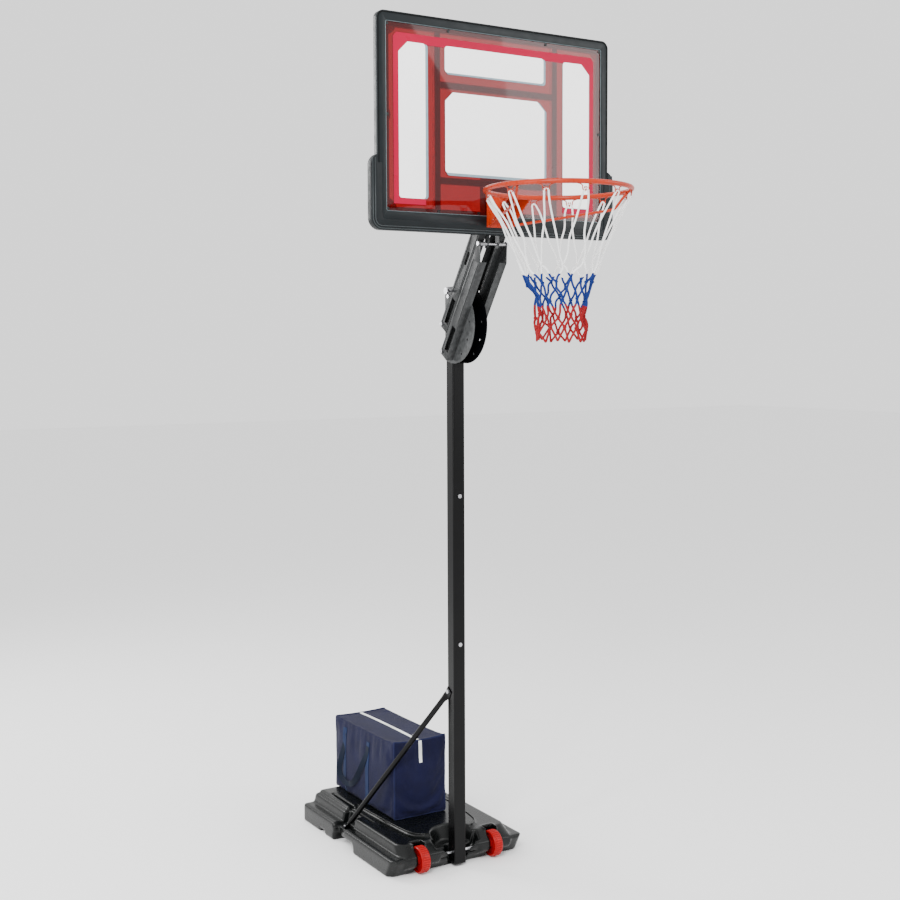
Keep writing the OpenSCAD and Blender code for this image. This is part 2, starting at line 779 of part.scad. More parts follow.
module rim_ring() {
    color([0.90, 0.35, 0.15]) at_pole() translate([0, -rim_reach, rim_z])
        rotate_extrude($fn = 96) translate([ring_r, 0]) circle(rod_r, $fn = 24);
}

// Folded plate: upright face with the bolts, a shelf to the ring and two side cheeks
module rim_plate() {
    reach = rim_reach - ring_r - rod_r + rim_plate_front + 12;
    z0 = board_z0 + 4;
    top = rim_z + rod_r;
    color([0.88, 0.33, 0.14]) at_pole() difference() {
        union() {
            translate([-50, rim_plate_front, z0]) cube([100, rim_plate_t, top - z0]);
            translate([-50, rim_plate_front - reach, rim_z - 2])
                cube([100, reach + eps, rim_plate_t]);
            both_sides() translate([47, 0, 0]) rotate([90, 0, 90]) linear_extrude(rim_plate_t)
                polygon([[rim_plate_front + eps, z0], [rim_plate_front + eps, top],
                    [rim_plate_front - reach, top - 7], [rim_plate_front - reach, rim_z - 8]]);
        }
        for (p = rim_bolt_places)
            rod_y(rim_plate_front - 5, rim_plate_back + 5, p.x, p.y, small_hole_r);
    }
}

module rim_brace(r) {
    foot = [45, frame_front - 8, board_z0 + 12];
    bend = [196, -rim_reach - 40, rim_z - 58];
    top = [216, -rim_reach - 82, rim_z - 9];
    rod(foot, bend, r);
    translate(bend) sphere(r * 1.06);
    rod(bend, top, r);
}

module rim_brace_left() { color([0.88, 0.33, 0.14]) at_pole() mirror([1, 0, 0]) rim_brace(brace_rod_r); }

module rim_brace_right() { color([0.88, 0.33, 0.14]) at_pole() rim_brace(brace_rod_r); }

// Loops welded under the ring that hold the net
module net_hooks() {
    color([0.85, 0.32, 0.14]) at_pole() translate([0, -rim_reach, rim_z - hook_drop])
        for (i = [0 : hook_count - 1]) rotate([0, 0, (i + 0.5) * 360 / hook_count])
            translate([ring_r, 0, 0]) rotate([90, 0, 90])
                rotate_extrude() translate([8, 0]) circle(hook_wire, $fn = 16);
}

// Four bolts through the rim plate: the low pair is threaded into the bracket's back plate
module rim_bolts() {
    color([0.85, 0.85, 0.86]) at_pole() for (p = rim_bolt_places) {
        tail = p.y == low_bolts_z ? plate_back_y : plate_back_y + 7;
        rod_y(rim_plate_front - 1, tail, p.x, p.y, small_bolt_r);
        rod_y(rim_plate_front - 4, rim_plate_front, p.x, p.y, 7);
    }
}

// Nuts of the high pair
module rim_nuts() {
    color([0.85, 0.85, 0.86]) at_pole() for (x = [-31, 31]) difference() {
        translate([x, plate_back_y, high_bolts_z]) rotate([-90, 0, 0])
            cylinder(h = 5, r = 6, $fn = 6);
        rod_y(plate_back_y - 1, plate_back_y + 9, x, high_bolts_z, small_bolt_r);
    }
}

// Sleeves that carry the high pair from the panel to the back plate
module rim_sleeves() {
    color([0.70, 0.70, 0.72]) at_pole() for (x = [-31, 31]) difference() {
        rod_y(panel_back, frame_back, x, high_bolts_z, 6);
        rod_y(panel_back - 1, frame_back + 1, x, high_bolts_z, small_hole_r);
    }
}

// Funnel of netting, open at the top and the bottom, with slits where the rim's braces pass
module net() {
    wall = 3;
    top = rim_z - hook_drop - 6;
    waist_z = net_z0 + 100;
    shoulder_z = net_z0 + 200;
    color([0.92, 0.92, 0.95]) at_pole() difference() {
        translate([0, -rim_reach, 0]) rotate_extrude($fn = 64)
            polygon([[ring_r, top], [136, shoulder_z], [93, waist_z], [92, net_z0],
                [92 - wall, net_z0], [93 - wall, waist_z], [136 - wall, shoulder_z],
                [ring_r - wall, top]]);
        both_sides() rim_brace(brace_rod_r + 3);
    }
}

base_tank();
filler_cap();
cap_seal();
axle_rod();
axle_caps();
wheel_left();
wheel_right();
pole_lower();
pole_middle();
pole_upper();
pole_foot_cap();
pole_top_cap();
pole_joint_bolts();
pole_joint_nuts();
brace_left();
brace_right();
brace_top_bolt();
brace_anchor_bolts();
ballast_bag();
bag_handle_left();
bag_handle_right();
zip_slider();
index_plate_left();
index_plate_right();
plate_bolt();
upper_arm_left();
upper_arm_right();
lower_arm_left();
lower_arm_right();
pole_pivot_bolts();
pole_pivot_nuts();
pole_pivot_spacers();
pin_bush();
lock_pin();
board_pivot_bolts();
board_pivot_nuts();
board_pivot_spacers();
board_frame();
board_panel();
board_pad();
panel_screws();
support_rail_left();
support_rail_right();
support_rail_upper();
support_rail_lower();
board_bracket_left();
board_bracket_right();
bracket_back_plate();
rim_ring();
rim_plate();
rim_brace_left();
rim_brace_right();
net_hooks();
rim_bolts();
rim_nuts();
rim_sleeves();
bracket_bolts();
net();
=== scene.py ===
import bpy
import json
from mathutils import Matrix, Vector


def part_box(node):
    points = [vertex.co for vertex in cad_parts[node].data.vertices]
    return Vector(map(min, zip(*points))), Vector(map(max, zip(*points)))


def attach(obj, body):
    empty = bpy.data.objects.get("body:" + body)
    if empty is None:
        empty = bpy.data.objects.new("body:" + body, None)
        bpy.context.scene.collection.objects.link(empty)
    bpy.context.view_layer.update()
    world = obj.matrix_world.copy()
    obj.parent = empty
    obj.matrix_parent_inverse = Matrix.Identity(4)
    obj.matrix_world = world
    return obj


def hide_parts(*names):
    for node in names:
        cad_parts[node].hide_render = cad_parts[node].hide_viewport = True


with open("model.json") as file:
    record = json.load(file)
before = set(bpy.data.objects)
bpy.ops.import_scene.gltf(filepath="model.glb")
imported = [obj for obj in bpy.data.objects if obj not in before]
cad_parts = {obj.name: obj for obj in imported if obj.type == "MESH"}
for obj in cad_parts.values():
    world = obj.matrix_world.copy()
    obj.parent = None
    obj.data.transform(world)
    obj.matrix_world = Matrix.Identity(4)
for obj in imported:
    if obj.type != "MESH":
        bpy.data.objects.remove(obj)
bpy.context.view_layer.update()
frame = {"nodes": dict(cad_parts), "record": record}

import json
import math
import random

import bmesh
import bpy
import numpy as np
from mathutils import Matrix, Vector
from mathutils.bvhtree import BVHTree

MM = 0.001
BASE, BOARD, UPPER, LOWER = "base_and_pole", "board", "upper_arms", "lower_arms"

# Places read from the frame: the pole's axis, the rim's centre and the panel's front face
pole_low, pole_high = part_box("pole_lower")
POLE_Y = (pole_low[1] + pole_high[1]) / 2
ring_low, ring_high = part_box("rim_ring")
RIM_Y = (ring_low[1] + ring_high[1]) / 2
RIM_Z = (ring_low[2] + ring_high[2]) / 2
ROD_R = (ring_high[2] - ring_low[2]) / 2
RING_R = (ring_high[0] - ring_low[0]) / 2 - ROD_R
panel_low, panel_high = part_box("board_panel")
frame_low, frame_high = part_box("board_frame")


def put(name, data):
    """A new object in the scene."""
    made = bpy.data.objects.new(name, data)
    bpy.context.scene.collection.objects.link(made)
    return made


# ---------- camera, light and floor ----------

# The photograph's camera, worked out from the board, the pole and the rim
CAMERA_PLACE = (-2.5772, POLE_Y - 4.2130, 1.9451)
CAMERA_TURN, CAMERA_DROP, CAMERA_ROLL = -31.2154, 4.2876, -0.2402
LENS_MM, SENSOR_MM = 53.49, 36


def make_camera():
    camera = put("camera", bpy.data.cameras.new("camera"))
    camera.data.lens = LENS_MM
    camera.data.sensor_width = SENSOR_MM
    camera.data.clip_end = 100
    turn = Matrix.Rotation(math.radians(CAMERA_TURN), 4, "Z")
    tilt = Matrix.Rotation(math.radians(90 - CAMERA_DROP), 4, "X")
    roll = Matrix.Rotation(math.radians(CAMERA_ROLL), 4, "Z")
    camera.matrix_world = Matrix.Translation(CAMERA_PLACE) @ turn @ tilt @ roll
    bpy.context.scene.camera = camera


def area_light(name, place, target, size, power, spin=0):
    light = bpy.data.lights.new(name, "AREA")
    light.shape = "RECTANGLE"
    light.size, light.size_y = size
    light.energy = power
    lamp = put(name, light)
    lamp.location = place
    aim = (Vector(target) - Vector(place)).to_track_quat("-Z", "Y")
    lamp.rotation_euler = (aim.to_matrix() @ Matrix.Rotation(math.radians(spin), 3, "Z")).to_euler()


def make_studio():
    world = bpy.data.worlds.new("studio")
    bpy.context.scene.world = world
    world.use_nodes = True
    sky = world.node_tree.nodes["Background"]
    sky.inputs["Color"].default_value = (1, 1, 1, 1)
    sky.inputs["Strength"].default_value = 1.5
    area_light("key", (-3.2, -3.6, 4.6), (0, 0, 1.4), (1.6, 1.6), 300)
    area_light("fill", (3.4, -3.0, 3.0), (0, 0, 1.5), (2.5, 3.0), 60)
    area_light("back", (-2.0, 3.6, 3.4), (0, 0.2, 1.2), (1.6, 2.5), 150)
    # its slanted edge is mirrored across the panel
    area_light("gloss", (2.177, POLE_Y - 3.3, 3.854), (2.177, POLE_Y, 3.854), (1.3, 2.4), 30, 37.3)
    area_light("edge", (-3.6, POLE_Y - 1.3, 2.2), (0, POLE_Y, 1.5), (0.3, 2.4), 50)
    floor = add_mesh("floor", [(-30, -30, 0), (30, -30, 0), (30, 30, 0), (-30, 30, 0)], [(0, 1, 2, 3)])
    paint = new_material("floor_white", (0.93, 0.93, 0.93), 0.6)
    floor.data.materials.append(paint)


# ---------- meshes ----------

def add_mesh(name, points, faces, material=None, smooth=False):
    data = bpy.data.meshes.new(name)
    data.from_pydata([tuple(p) for p in points], [], [tuple(f) for f in faces])
    data.validate()
    piece = put(name, data)
    if material:
        data.materials.append(material)
    if smooth:
        data.shade_smooth()
    return piece


def modify(piece, kind, **settings):
    modifier = piece.modifiers.new(kind.lower(), kind)
    for key, value in settings.items():
        setattr(modifier, key, value)
    return modifier


def bake(piece):
    """Replaces the mesh by what its modifiers make of it."""
    graph = bpy.context.evaluated_depsgraph_get()
    data = bpy.data.meshes.new_from_object(piece.evaluated_get(graph))
    piece.modifiers.clear()
    piece.data = data


def settle(piece, body, slot, *nodes):
    """Puts a finished piece on its body, in place of its nodes; slot is not used."""
    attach(piece, body)
    if nodes:
        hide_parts(*nodes)
    return piece


def smooth_path(points, per_span=6):
    """Catmull-Rom curve through the points."""
    pts = [np.array(p, float) for p in points]
    last = len(pts) - 1
    out = []
    for i in range(last):
        a, b, c, d = (pts[min(max(i + k, 0), last)] for k in (-1, 0, 1, 2))
        for t in np.arange(per_span) / per_span:
            out.append(0.5 * (2 * b + (c - a) * t + (2 * a - 5 * b + 4 * c - d) * t ** 2
                              + (3 * b - a - 3 * c + d) * t ** 3))
    return np.array(out + [pts[-1]])


def round_profile(radius, sides=10):
    angles = np.arange(sides) * 2 * math.pi / sides
    return np.stack([np.cos(angles), np.sin(angles)], 1) * radius


def sweep(path, profile, closed=False, up=(0, 0, 1), ups=None):
    """Points and faces of a profile swept along a path, with closed ends. The profile may be one
    outline or a list of one outline for each point of the path."""
    path = np.array(path, float)
    count = len(path)
    if closed:
        tangents = np.roll(path, -1, 0) - np.roll(path, 1, 0)
    else:
        tangents = np.gradient(path, axis=0)
    tangents /= np.linalg.norm(tangents, axis=1)[:, None]
    profiles = np.array(profile, float)
    if profiles.ndim == 2:
        profiles = np.repeat(profiles[None], count, 0)
    sides = profiles.shape[1]
    guide = np.array(up, float)
    points = []
    for i in range(count):
        if ups is not None:
            guide = np.array(ups[i], float)
        side = np.cross(tangents[i], guide)
        if np.linalg.norm(side) < 1e-6:
            side = np.cross(tangents[i], (0.3, 1, 0.2))
        side /= np.linalg.norm(side)
        lift = np.cross(side, tangents[i])
        if ups is None:
            guide = lift
        points += [path[i] + side * x + lift * y for x, y in profiles[i]]
    faces = ring_faces(count, sides, closed)
    if not closed:
        faces.append(tuple(range(sides)))
        faces.append(tuple((count - 1) * sides + k for k in reversed(range(sides))))
    return points, faces


def ring_faces(count, sides, closed=False):
    """Quads that join rings of points one after the other."""
    faces = []
    for i in range(count if closed else count - 1):
        j = (i + 1) % count
        for k in range(sides):
            m = (k + 1) % sides
            faces.append((i * sides + k, j * sides + k, j * sides + m, i * sides + m))
    return faces


def gather(parts):
    """One list of points and faces from several."""
    points, faces = [], []
    for more_points, more_faces in parts:
        start = len(points)
        points += list(more_points)
        faces += [tuple(start + i for i in face) for face in more_faces]
    return points, faces


def add_parts(name, parts, material, body, slot, *nodes):
    """A smooth piece made of several parts, settled."""
    return settle(add_mesh(name, *gather(parts), material, True), body, slot, *nodes)


def add_band(name, parts, material, slot, *nodes):
    """A piece of webbing or tape on the bag, with crisp edges."""
    band = add_mesh(name, *gather(parts), material)
    face_outward(band)
    shade_by_angle(band, 50)
    return settle(band, BASE, slot, *nodes)


def softened(node, width, slot, body):
    """A copy of a CAD node's shape with its edges rounded, in place of the node."""
    data = frame["nodes"][node].data.copy()
    data.materials.clear()
    piece = put(node + "_finished", data)
    mesh = bmesh.new()
    mesh.from_mesh(data)
    bmesh.ops.remove_doubles(mesh, verts=mesh.verts, dist=1e-5)
    bmesh.ops.dissolve_limit(mesh, angle_limit=math.radians(4), verts=mesh.verts, edges=mesh.edges,
                             delimit={"NORMAL"})
    mesh.to_mesh(data)
    mesh.free()
    data.materials.append(PAINT[slot])
    modify(piece, "BEVEL", width=width, segments=2, limit_method="ANGLE",
           angle_limit=math.radians(35), harden_normals=False, use_clamp_overlap=True)
    bake(piece)
    shade_by_angle(piece, 40)
    return settle(piece, body, slot, node)


def shade_by_angle(piece, degrees):
    piece.data.shade_smooth()
    mesh = bmesh.new()
    mesh.from_mesh(piece.data)
    for edge in mesh.edges:
        edge.smooth = len(edge.link_faces) == 2 and edge.calc_face_angle(0) < math.radians(degrees)
    mesh.to_mesh(piece.data)
    mesh.free()


def face_outward(piece):
    mesh = bmesh.new()
    mesh.from_mesh(piece.data)
    bmesh.ops.recalc_face_normals(mesh, faces=mesh.faces)
    mesh.to_mesh(piece.data)
    mesh.free()


# ---------- distance fields for the moulded tank ----------

def box_field(grid, low, high, radius):
    """Signed distance to a box with round edges."""
    low, high = np.array(low, float), np.array(high, float)
    middle, half = (low + high) / 2, (high - low) / 2 - radius
    gap = [np.abs(grid[a] - middle[a]) - half[a] for a in range(3)]
    outside = np.sqrt(sum(np.maximum(g, 0) ** 2 for g in gap))
    inside = np.minimum(np.maximum(np.maximum(gap[0], gap[1]), gap[2]), 0)
    return outside + inside - radius


def blend_union(a, b, radius):
    mix = np.clip(0.5 + 0.5 * (b - a) / radius, 0, 1)
    return b * (1 - mix) + a * mix - radius * mix * (1 - mix)


def blend_cut(a, cutter, radius):
    return -blend_union(-a, cutter, radius)


def crossings(field):
    """For each cell of a grid, the sum of the places in it where the field changes sign on an edge,
    and their number."""
    shape = np.array(field.shape) - 1
    total = np.zeros((*shape, 3))
    hits = np.zeros(shape)
    corner = (slice(None, -1), slice(1, None))
    for axis in range(3):
        others = [a for a in range(3) if a != axis]
        for u in (0, 1):
            for v in (0, 1):
                pick_a, pick_b = [None] * 3, [None] * 3
                pick_a[axis], pick_b[axis] = corner[0], corner[1]
                for other, flag in zip(others, (u, v)):
                    pick_a[other] = pick_b[other] = corner[flag]
                a, b = field[tuple(pick_a)], field[tuple(pick_b)]
                cross = (a < 0) != (b < 0)
                t = np.where(cross, a / np.where(cross, a - b, 1), 0)
                total[..., axis] += t
                for other, flag in zip(others, (u, v)):
                    total[..., other] += np.where(cross, flag, 0)
                hits += cross
    return total, hits


def surface_of(field, origin, step):
    """Quads on the zero level of a field sampled on a grid (surface nets)."""
    inside = field < 0
    total, hits = crossings(field)
    used = hits > 0
    index = -np.ones(hits.shape, int)
    index[used] = np.arange(used.sum())
    cells = np.argwhere(used)
    points = (cells + total[used] / hits[used][:, None]) * step + origin
    faces = []
    for axis in range(3):
        u, v = (axis + 1) % 3, (axis + 2) % 3
        a = np.take(inside, range(0, hits.shape[axis]), axis)
        b = np.take(inside, range(1, hits.shape[axis] + 1), axis)
        cut = [slice(None)] * 3
        cut[u] = cut[v] = slice(1, -1)
        change = (a != b)[tuple(cut)]
        where = np.argwhere(change)
        where[:, u] += 1
        where[:, v] += 1
        outward = a[tuple(where.T)]
        quad = []
        for du, dv in ((-1, -1), (0, -1), (0, 0), (-1, 0)):
            cell = where.copy()
            cell[:, u] += du
            cell[:, v] += dv
            quad.append(index[tuple(cell.T)])
        quad = np.stack(quad, 1)
        quad[~outward] = quad[~outward][:, ::-1]
        faces.append(quad)
    return points, np.concatenate(faces)


# ---------- materials ----------

PAINT = {}  # every material, under its name


def feed(node, values):
    for socket, value in values.items():
        node.inputs[socket].default_value = value


def new_material(name, colour, roughness, metallic=0.0, specular=0.5):
    material = PAINT[name] = bpy.data.materials.new(name)
    material.use_nodes = True
    feed(material.node_tree.nodes["Principled BSDF"],
         {"Base Color": (*colour, 1), "Roughness": roughness, "Metallic": metallic,
          "Specular IOR Level": specular})
    return material


class Graph:
    """Short names for building a material's nodes."""

    def __init__(self, material):
        self.tree = material.node_tree
        self.shader = self.tree.nodes["Principled BSDF"]
        self.place = self.node("ShaderNodeTexCoord").outputs["Object"]

    def node(self, kind, **settings):
        made = self.tree.nodes.new(kind)
        for key, value in settings.items():
            setattr(made, key, value)
        return made

    def link(self, source, target):
        self.tree.links.new(source, target)

    def noise(self, scale, detail=4, stretch=(1, 1, 1)):
        mapping = self.node("ShaderNodeMapping")
        feed(mapping, {"Scale": stretch})
        self.link(self.place, mapping.inputs["Vector"])
        noise = self.node("ShaderNodeTexNoise")
        feed(noise, {"Scale": scale, "Detail": detail})
        self.link(mapping.outputs["Vector"], noise.inputs["Vector"])
        return noise.outputs["Fac"]

    def ramp(self, source, stops, interpolation="LINEAR"):
        ramp = self.node("ShaderNodeValToRGB")
        ramp.color_ramp.interpolation = interpolation
        elements = ramp.color_ramp.elements
        while len(elements) < len(stops):
            elements.new(0.5)
        for element, (position, colour) in zip(elements, stops):
            element.position = position
            element.color = (*colour, 1)
        self.link(source, ramp.inputs["Fac"])
        return ramp.outputs["Color"]

    def span(self, source, low, high, from_low=0.3, from_high=0.7):
        node = self.node("ShaderNodeMapRange")
        feed(node, {"From Min": from_low, "From Max": from_high, "To Min": low, "To Max": high})
        self.link(source, node.inputs["Value"])
        return node.outputs["Result"]

    def math(self, kind, a, b=None):
        node = self.node("ShaderNodeMath", operation=kind)
        for socket, value in zip(node.inputs, (a, b)):
            if value is None:
                continue
            if isinstance(value, (int, float)):
                socket.default_value = value
            else:
                self.link(value, socket)
        return node.outputs["Value"]

    def bump(self, height, strength, distance, below=None):
        node = self.node("ShaderNodeBump")
        feed(node, {"Strength": strength, "Distance": distance})
        self.link(height, node.inputs["Height"])
        if below:
            self.link(below, node.inputs["Normal"])
        self.link(node.outputs["Normal"], self.shader.inputs["Normal"])
        return node.outputs["Normal"]

    def mix(self, factor, a, b):
        node = self.node("ShaderNodeMix", data_type="RGBA")
        for socket, value in ((node.inputs["Factor"], factor), (node.inputs[6], a),
                              (node.inputs[7], b)):
            if isinstance(value, (int, float)):
                socket.default_value = value
            elif isinstance(value, tuple):
                socket.default_value = (*value, 1)
            else:
                self.link(value, socket)
        return node.outputs[2]


def shade(colour, factor):
    return tuple(min(1, c * factor) for c in colour)


def mottled(name, colour, roughness, grain=(400, 0.15, 0.0004), patch=9, spread=0.18, metallic=0.0,
            edge_highlight=None, rough_spread=0.08, specular=0.5):
    """A surface whose colour and roughness drift in patches, with a fine grain in relief and, where
    an edge colour is given, a painted highlight: convex edges painted lighter, broken up by noise."""
    material = new_material(name, colour, roughness, metallic, specular)
    g = Graph(material)
    drift = g.noise(patch, 5)
    tint = g.ramp(drift, [(0.3, shade(colour, 1 - spread)), (0.7, shade(colour, 1 + spread))])
    # painted highlight: convex edges, found by pointiness, are painted toward the lighter edge colour,
    # broken up by noise
    if edge_highlight:
        edges = g.node("ShaderNodeNewGeometry").outputs["Pointiness"]
        edge_highlight_mask = g.math("MULTIPLY", g.span(edges, 0, 1, 0.52, 0.58), g.span(g.noise(60, 3), 0.2, 1))
        tint = g.mix(edge_highlight_mask, tint, edge_highlight)
    g.link(tint, g.shader.inputs["Base Color"])
    fine = g.noise(grain[0], 3)
    g.link(g.span(g.noise(patch * 4, 4), roughness - rough_spread, roughness + rough_spread),
           g.shader.inputs["Roughness"])
    g.bump(fine, grain[1], grain[2])
    return material


def woven(name, colour, pitch=0.0012, sheen=0.03, crease=0.0015):
    """Plain weave: warp and weft threads in relief, with a painted highlight on the raised threads,
    colour drift and slow creases.
    """
    material = new_material(name, colour, 0.75, specular=0.16)
    g = Graph(material)
    feed(g.shader, {"Sheen Weight": sheen, "Sheen Roughness": 0.45})
    parts = g.node("ShaderNodeSeparateXYZ")
    g.link(g.place, parts.inputs["Vector"])
    x, y, z = (parts.outputs[i] for i in range(3))
    turn = 2 * math.pi / pitch
    flat = g.math("ADD", x, y)
    warp = g.math("SINE", g.math("MULTIPLY", flat, turn))
    weft = g.math("SINE", g.math("MULTIPLY", g.math("ADD", z, g.math("MULTIPLY", x, 0.2)), turn))
    threads = g.math("MULTIPLY", warp, weft)
    drift = g.noise(14, 4)
    tint = g.ramp(drift, [(0.3, shade(colour, 0.8)), (0.7, shade(colour, 1.3))])
    # painted highlight: the raised thread crossings are painted up to 30% toward a lighter copy of the
    # colour
    thread_highlight_tint = g.mix(g.span(threads, 0.0, 0.3, -1, 1), tint, shade(colour, 1.8))
    g.link(thread_highlight_tint, g.shader.inputs["Base Color"])
    folds = g.bump(g.noise(22, 3, (1, 1, 0.5)), 0.5, crease)
    g.bump(threads, 0.35, 0.0003, folds)
    return material


def braided(name, bands):
    """Braided cord dyed in bands by height; bands are (height, colour), from the bottom up."""
    material = new_material(name, bands[-1][1], 0.8, specular=0.15)
    g = Graph(material)
    parts = g.node("ShaderNodeSeparateXYZ")
    g.link(g.place, parts.inputs["Vector"])
    height = g.math("ADD", parts.outputs[2], g.span(g.noise(30, 2), -0.006, 0.006))
    low, high = bands[0][0], bands[-1][0]
    level = g.span(height, 0, 1, low, high)
    stops = [((start - low) / (high - low), colour) for start, colour in bands]
    dye = g.ramp(level, stops, "CONSTANT")
    fibre = g.noise(900, 2, (1, 1, 0.4))
    shadow = g.mix(g.span(fibre, 0.0, 0.35), dye, (0.03, 0.03, 0.04))
    g.link(shadow, g.shader.inputs["Base Color"])
    g.bump(fibre, 0.6, 0.0008)
    return material


def tinted_clear(name, colour):
    """Clear acrylic with a see-through print."""
    material = new_material(name, colour, 0.04, specular=0.6)
    g = Graph(material)
    feed(g.shader, {"Transmission Weight": 0.88, "IOR": 1.2, "Coat Weight": 0.5,
                    "Coat Roughness": 0.02})
    tint = g.ramp(g.noise(3, 3), [(0.3, shade(colour, 0.94)), (0.7, shade(colour, 1.06))])
    g.link(tint, g.shader.inputs["Base Color"])
    return material


def make_materials():
    mottled("tank_plastic", (0.0022, 0.0027, 0.0027), 0.27, (900, 0.008, 0.0001), 7, 0.12,
            rough_spread=0.02, specular=0.24)
    mottled("black_plastic", (0.004, 0.0043, 0.0047), 0.4, specular=0.3)
    mottled("frame_plastic", (0.0040, 0.0064, 0.0076), 0.36, (700, 0.1, 0.0003), specular=0.2)
    mottled("pad_foam", (0.0050, 0.0070, 0.0080), 0.5, (500, 0.2, 0.0004), specular=0.18)
    # painted highlight: the light grey-blue of the frame's inner lip stands in for its highlight
    mottled("lip_highlight_paint", (0.085, 0.120, 0.130), 0.3)
    # painted highlight: the pad's ridges take a lighter copy of the pad's colour
    mottled("ridge_highlight_paint", (0.028, 0.034, 0.036), 0.4, specular=0.3)
    mottled("seal_rubber", (0.002, 0.002, 0.002), 0.7, specular=0.1)
    # painted highlight: the wheels' edges are painted a lighter red
    mottled("red_plastic", (0.24, 0.0008, 0.0016), 0.34, (300, 0.06, 0.0003), 20, 0.1,
            specular=0.16, edge_highlight=(0.46, 0.005, 0.006))
    mottled("black_paint", (0.0020, 0.0020, 0.0022), 0.24, (1200, 0.01, 0.0001),
            12, 0.2, rough_spread=0.02, specular=0.14)
    # painted highlight: the arms' edges are painted a lighter grey
    mottled("grey_paint", (0.0160, 0.0170, 0.0176), 0.45, (1000, 0.03, 0.0002), 14,
            0.06, specular=0.16, edge_highlight=(0.055, 0.057, 0.058))
    # painted shade: a near-black copy of the grey paint for the far index plate, whose face lies in
    # shade
    mottled("shaded_plate_paint", (0.0008, 0.0009, 0.0016), 0.6, (1000, 0.15, 0.0003), specular=0.03)
    mottled("rail_paint", (0.52, 0.52, 0.54), 0.45, (1000, 0.2, 0.0003))
    mottled("orange_paint", (0.33, 0.020, 0.0022), 0.3, (500, 0.08, 0.0003), 18, 0.1, specular=0.22)
    mottled("zinc", (0.45, 0.45, 0.47), 0.30, (600, 0.1, 0.0002), 40, 0.1, metallic=1.0)
    mottled("sleeve_steel", (0.3, 0.3, 0.31), 0.4, metallic=1.0)
    tinted_clear("clear_panel", (0.27, 0.0080, 0.0100))
    mottled("white_print", (0.97, 0.97, 0.97), 0.3, (300, 0.05, 0.0002), 4, 0.02, specular=0.3)
    # painted shadow: grey-blue for the strips along the windows' right and lower edges
    mottled("window_shadow_paint", (0.15, 0.22, 0.26), 0.3, (300, 0.05, 0.0002), 6, 0.1)
    mottled("pink_print", (0.30, 0.0002, 0.0260), 0.35, (300, 0.05, 0.0002), 4, 0.06, specular=0.1)
    mottled("panel_tab", (0.30, 0.0040, 0.0050), 0.35)
    woven("bag_fabric", (0.0022, 0.0026, 0.0190))
    woven("bag_piping", (0.0060, 0.0078, 0.0340), 0.001)
    woven("webbing", (0.0018, 0.0046, 0.0130), 0.0022, 0.03, 0.0002)
    woven("strip_webbing", (0.0046, 0.0120, 0.0420), 0.0022, 0.03, 0.0002)
    woven("zip_tape", (0.62, 0.64, 0.62), 0.0015, 0.03, 0.0001)
    mottled("zip_metal", (0.10, 0.10, 0.11), 0.35, metallic=0.8)
    braided("net_cord", [(1.9, (0.25, 0.0006, 0.0018)), (2.085, (0.0010, 0.018, 0.150)),
                         (2.185, (0.90, 0.90, 0.89)), (2.6, (0.90, 0.90, 0.89))])


# ---------- base ----------

DECK_EDGE = [(0.0, 0.716), (0.168, 0.716), (0.176, 0.700), (0.172, 0.40), (0.164, 0.244),
             (0.152, 0.120), (0.137, 0.082), (0.112, 0.058), (0.080, 0.045), (0.0, 0.040)]


def outline_distance(x, y, outline):
    """Distance to a closed outline in the plane, negative inside."""
    near = np.full(x.shape, 1e9)
    inside = np.zeros(x.shape, bool)
    for (ax, ay), (bx, by) in zip(outline, outline[1:] + outline[:1]):
        ex, ey = bx - ax, by - ay
        t = np.clip(((x - ax) * ex + (y - ay) * ey) / (ex * ex + ey * ey), 0, 1)
        near = np.minimum(near, np.hypot(x - ax - t * ex, y - ay - t * ey))
        if ey:
            crossing = ((ay > y) != (by > y)) & (x < ex * (y - ay) / ey + ax)
            inside ^= crossing
    return np.where(inside, -near, near)


def deck_distance(x, y):
    mirrored = [(-ax, ay) for ax, ay in reversed(DECK_EDGE[1:-1])]
    return outline_distance(x, y, DECK_EDGE + mirrored)


# Half widths and heights of the tank's tiers, and its front and rear about the pole's axis
SKIRT_HALF, STEP_HALF, SHOULDER_HALF = 0.290, 0.246, 0.231
SKIRT_TOP, STEP_TOP, SHOULDER_TOP, DECK_TOP = 0.071, 0.1075, 0.1205, 0.1190
TANK_FRONT, TANK_REAR = -0.026, 0.755
FRONT_ROUND = 0.050
AXLE_Z = 0.052
TANK_GRID = 0.0035


def tank_body(x, y, z):
    """The skirt, its steps and the deck."""
    wide = np.abs(x)
    lean = y - 0.571 * np.maximum(0.07 - z, 0) * (y < 0.2)
    skirt = box_field((wide, lean, z), (-SKIRT_HALF, TANK_FRONT, -0.05),
                      (SKIRT_HALF, TANK_REAR, SKIRT_TOP), 0.012)
    corner = wide + np.where(y < 0.3, -lean - 0.295, y - TANK_REAR - 0.278)
    skirt = np.maximum(skirt, corner * 0.7071)
    rise = np.maximum(z - 0.07, 0)
    apron = lean - 1.35 * rise * (y < 0.3)
    draft = wide + 0.24 * rise
    step = box_field((draft, apron, z), (-STEP_HALF, TANK_FRONT, 0.02),
                     (STEP_HALF, 0.745, STEP_TOP), 0.008)
    round_front = np.hypot(np.maximum(draft - STEP_HALF + FRONT_ROUND, 0),
                           np.maximum(-apron + TANK_FRONT + FRONT_ROUND, 0)) - FRONT_ROUND
    step = np.maximum(step, round_front)
    field = blend_union(skirt, step, 0.005)
    shoulder = box_field((draft, y, z), (-SHOULDER_HALF, 0.480, 0.05),
                         (SHOULDER_HALF, 0.738, SHOULDER_TOP), 0.008)
    field = blend_union(field, shoulder, 0.005)
    edge = deck_distance(x[:, :, 0], y[:, :, 0])[:, :, None] * np.ones_like(z)
    deck = np.maximum(np.maximum(edge + 0.3 * np.maximum(z - 0.10, 0), z - DECK_TOP), 0.05 - z)
    return blend_union(field, deck, 0.006)


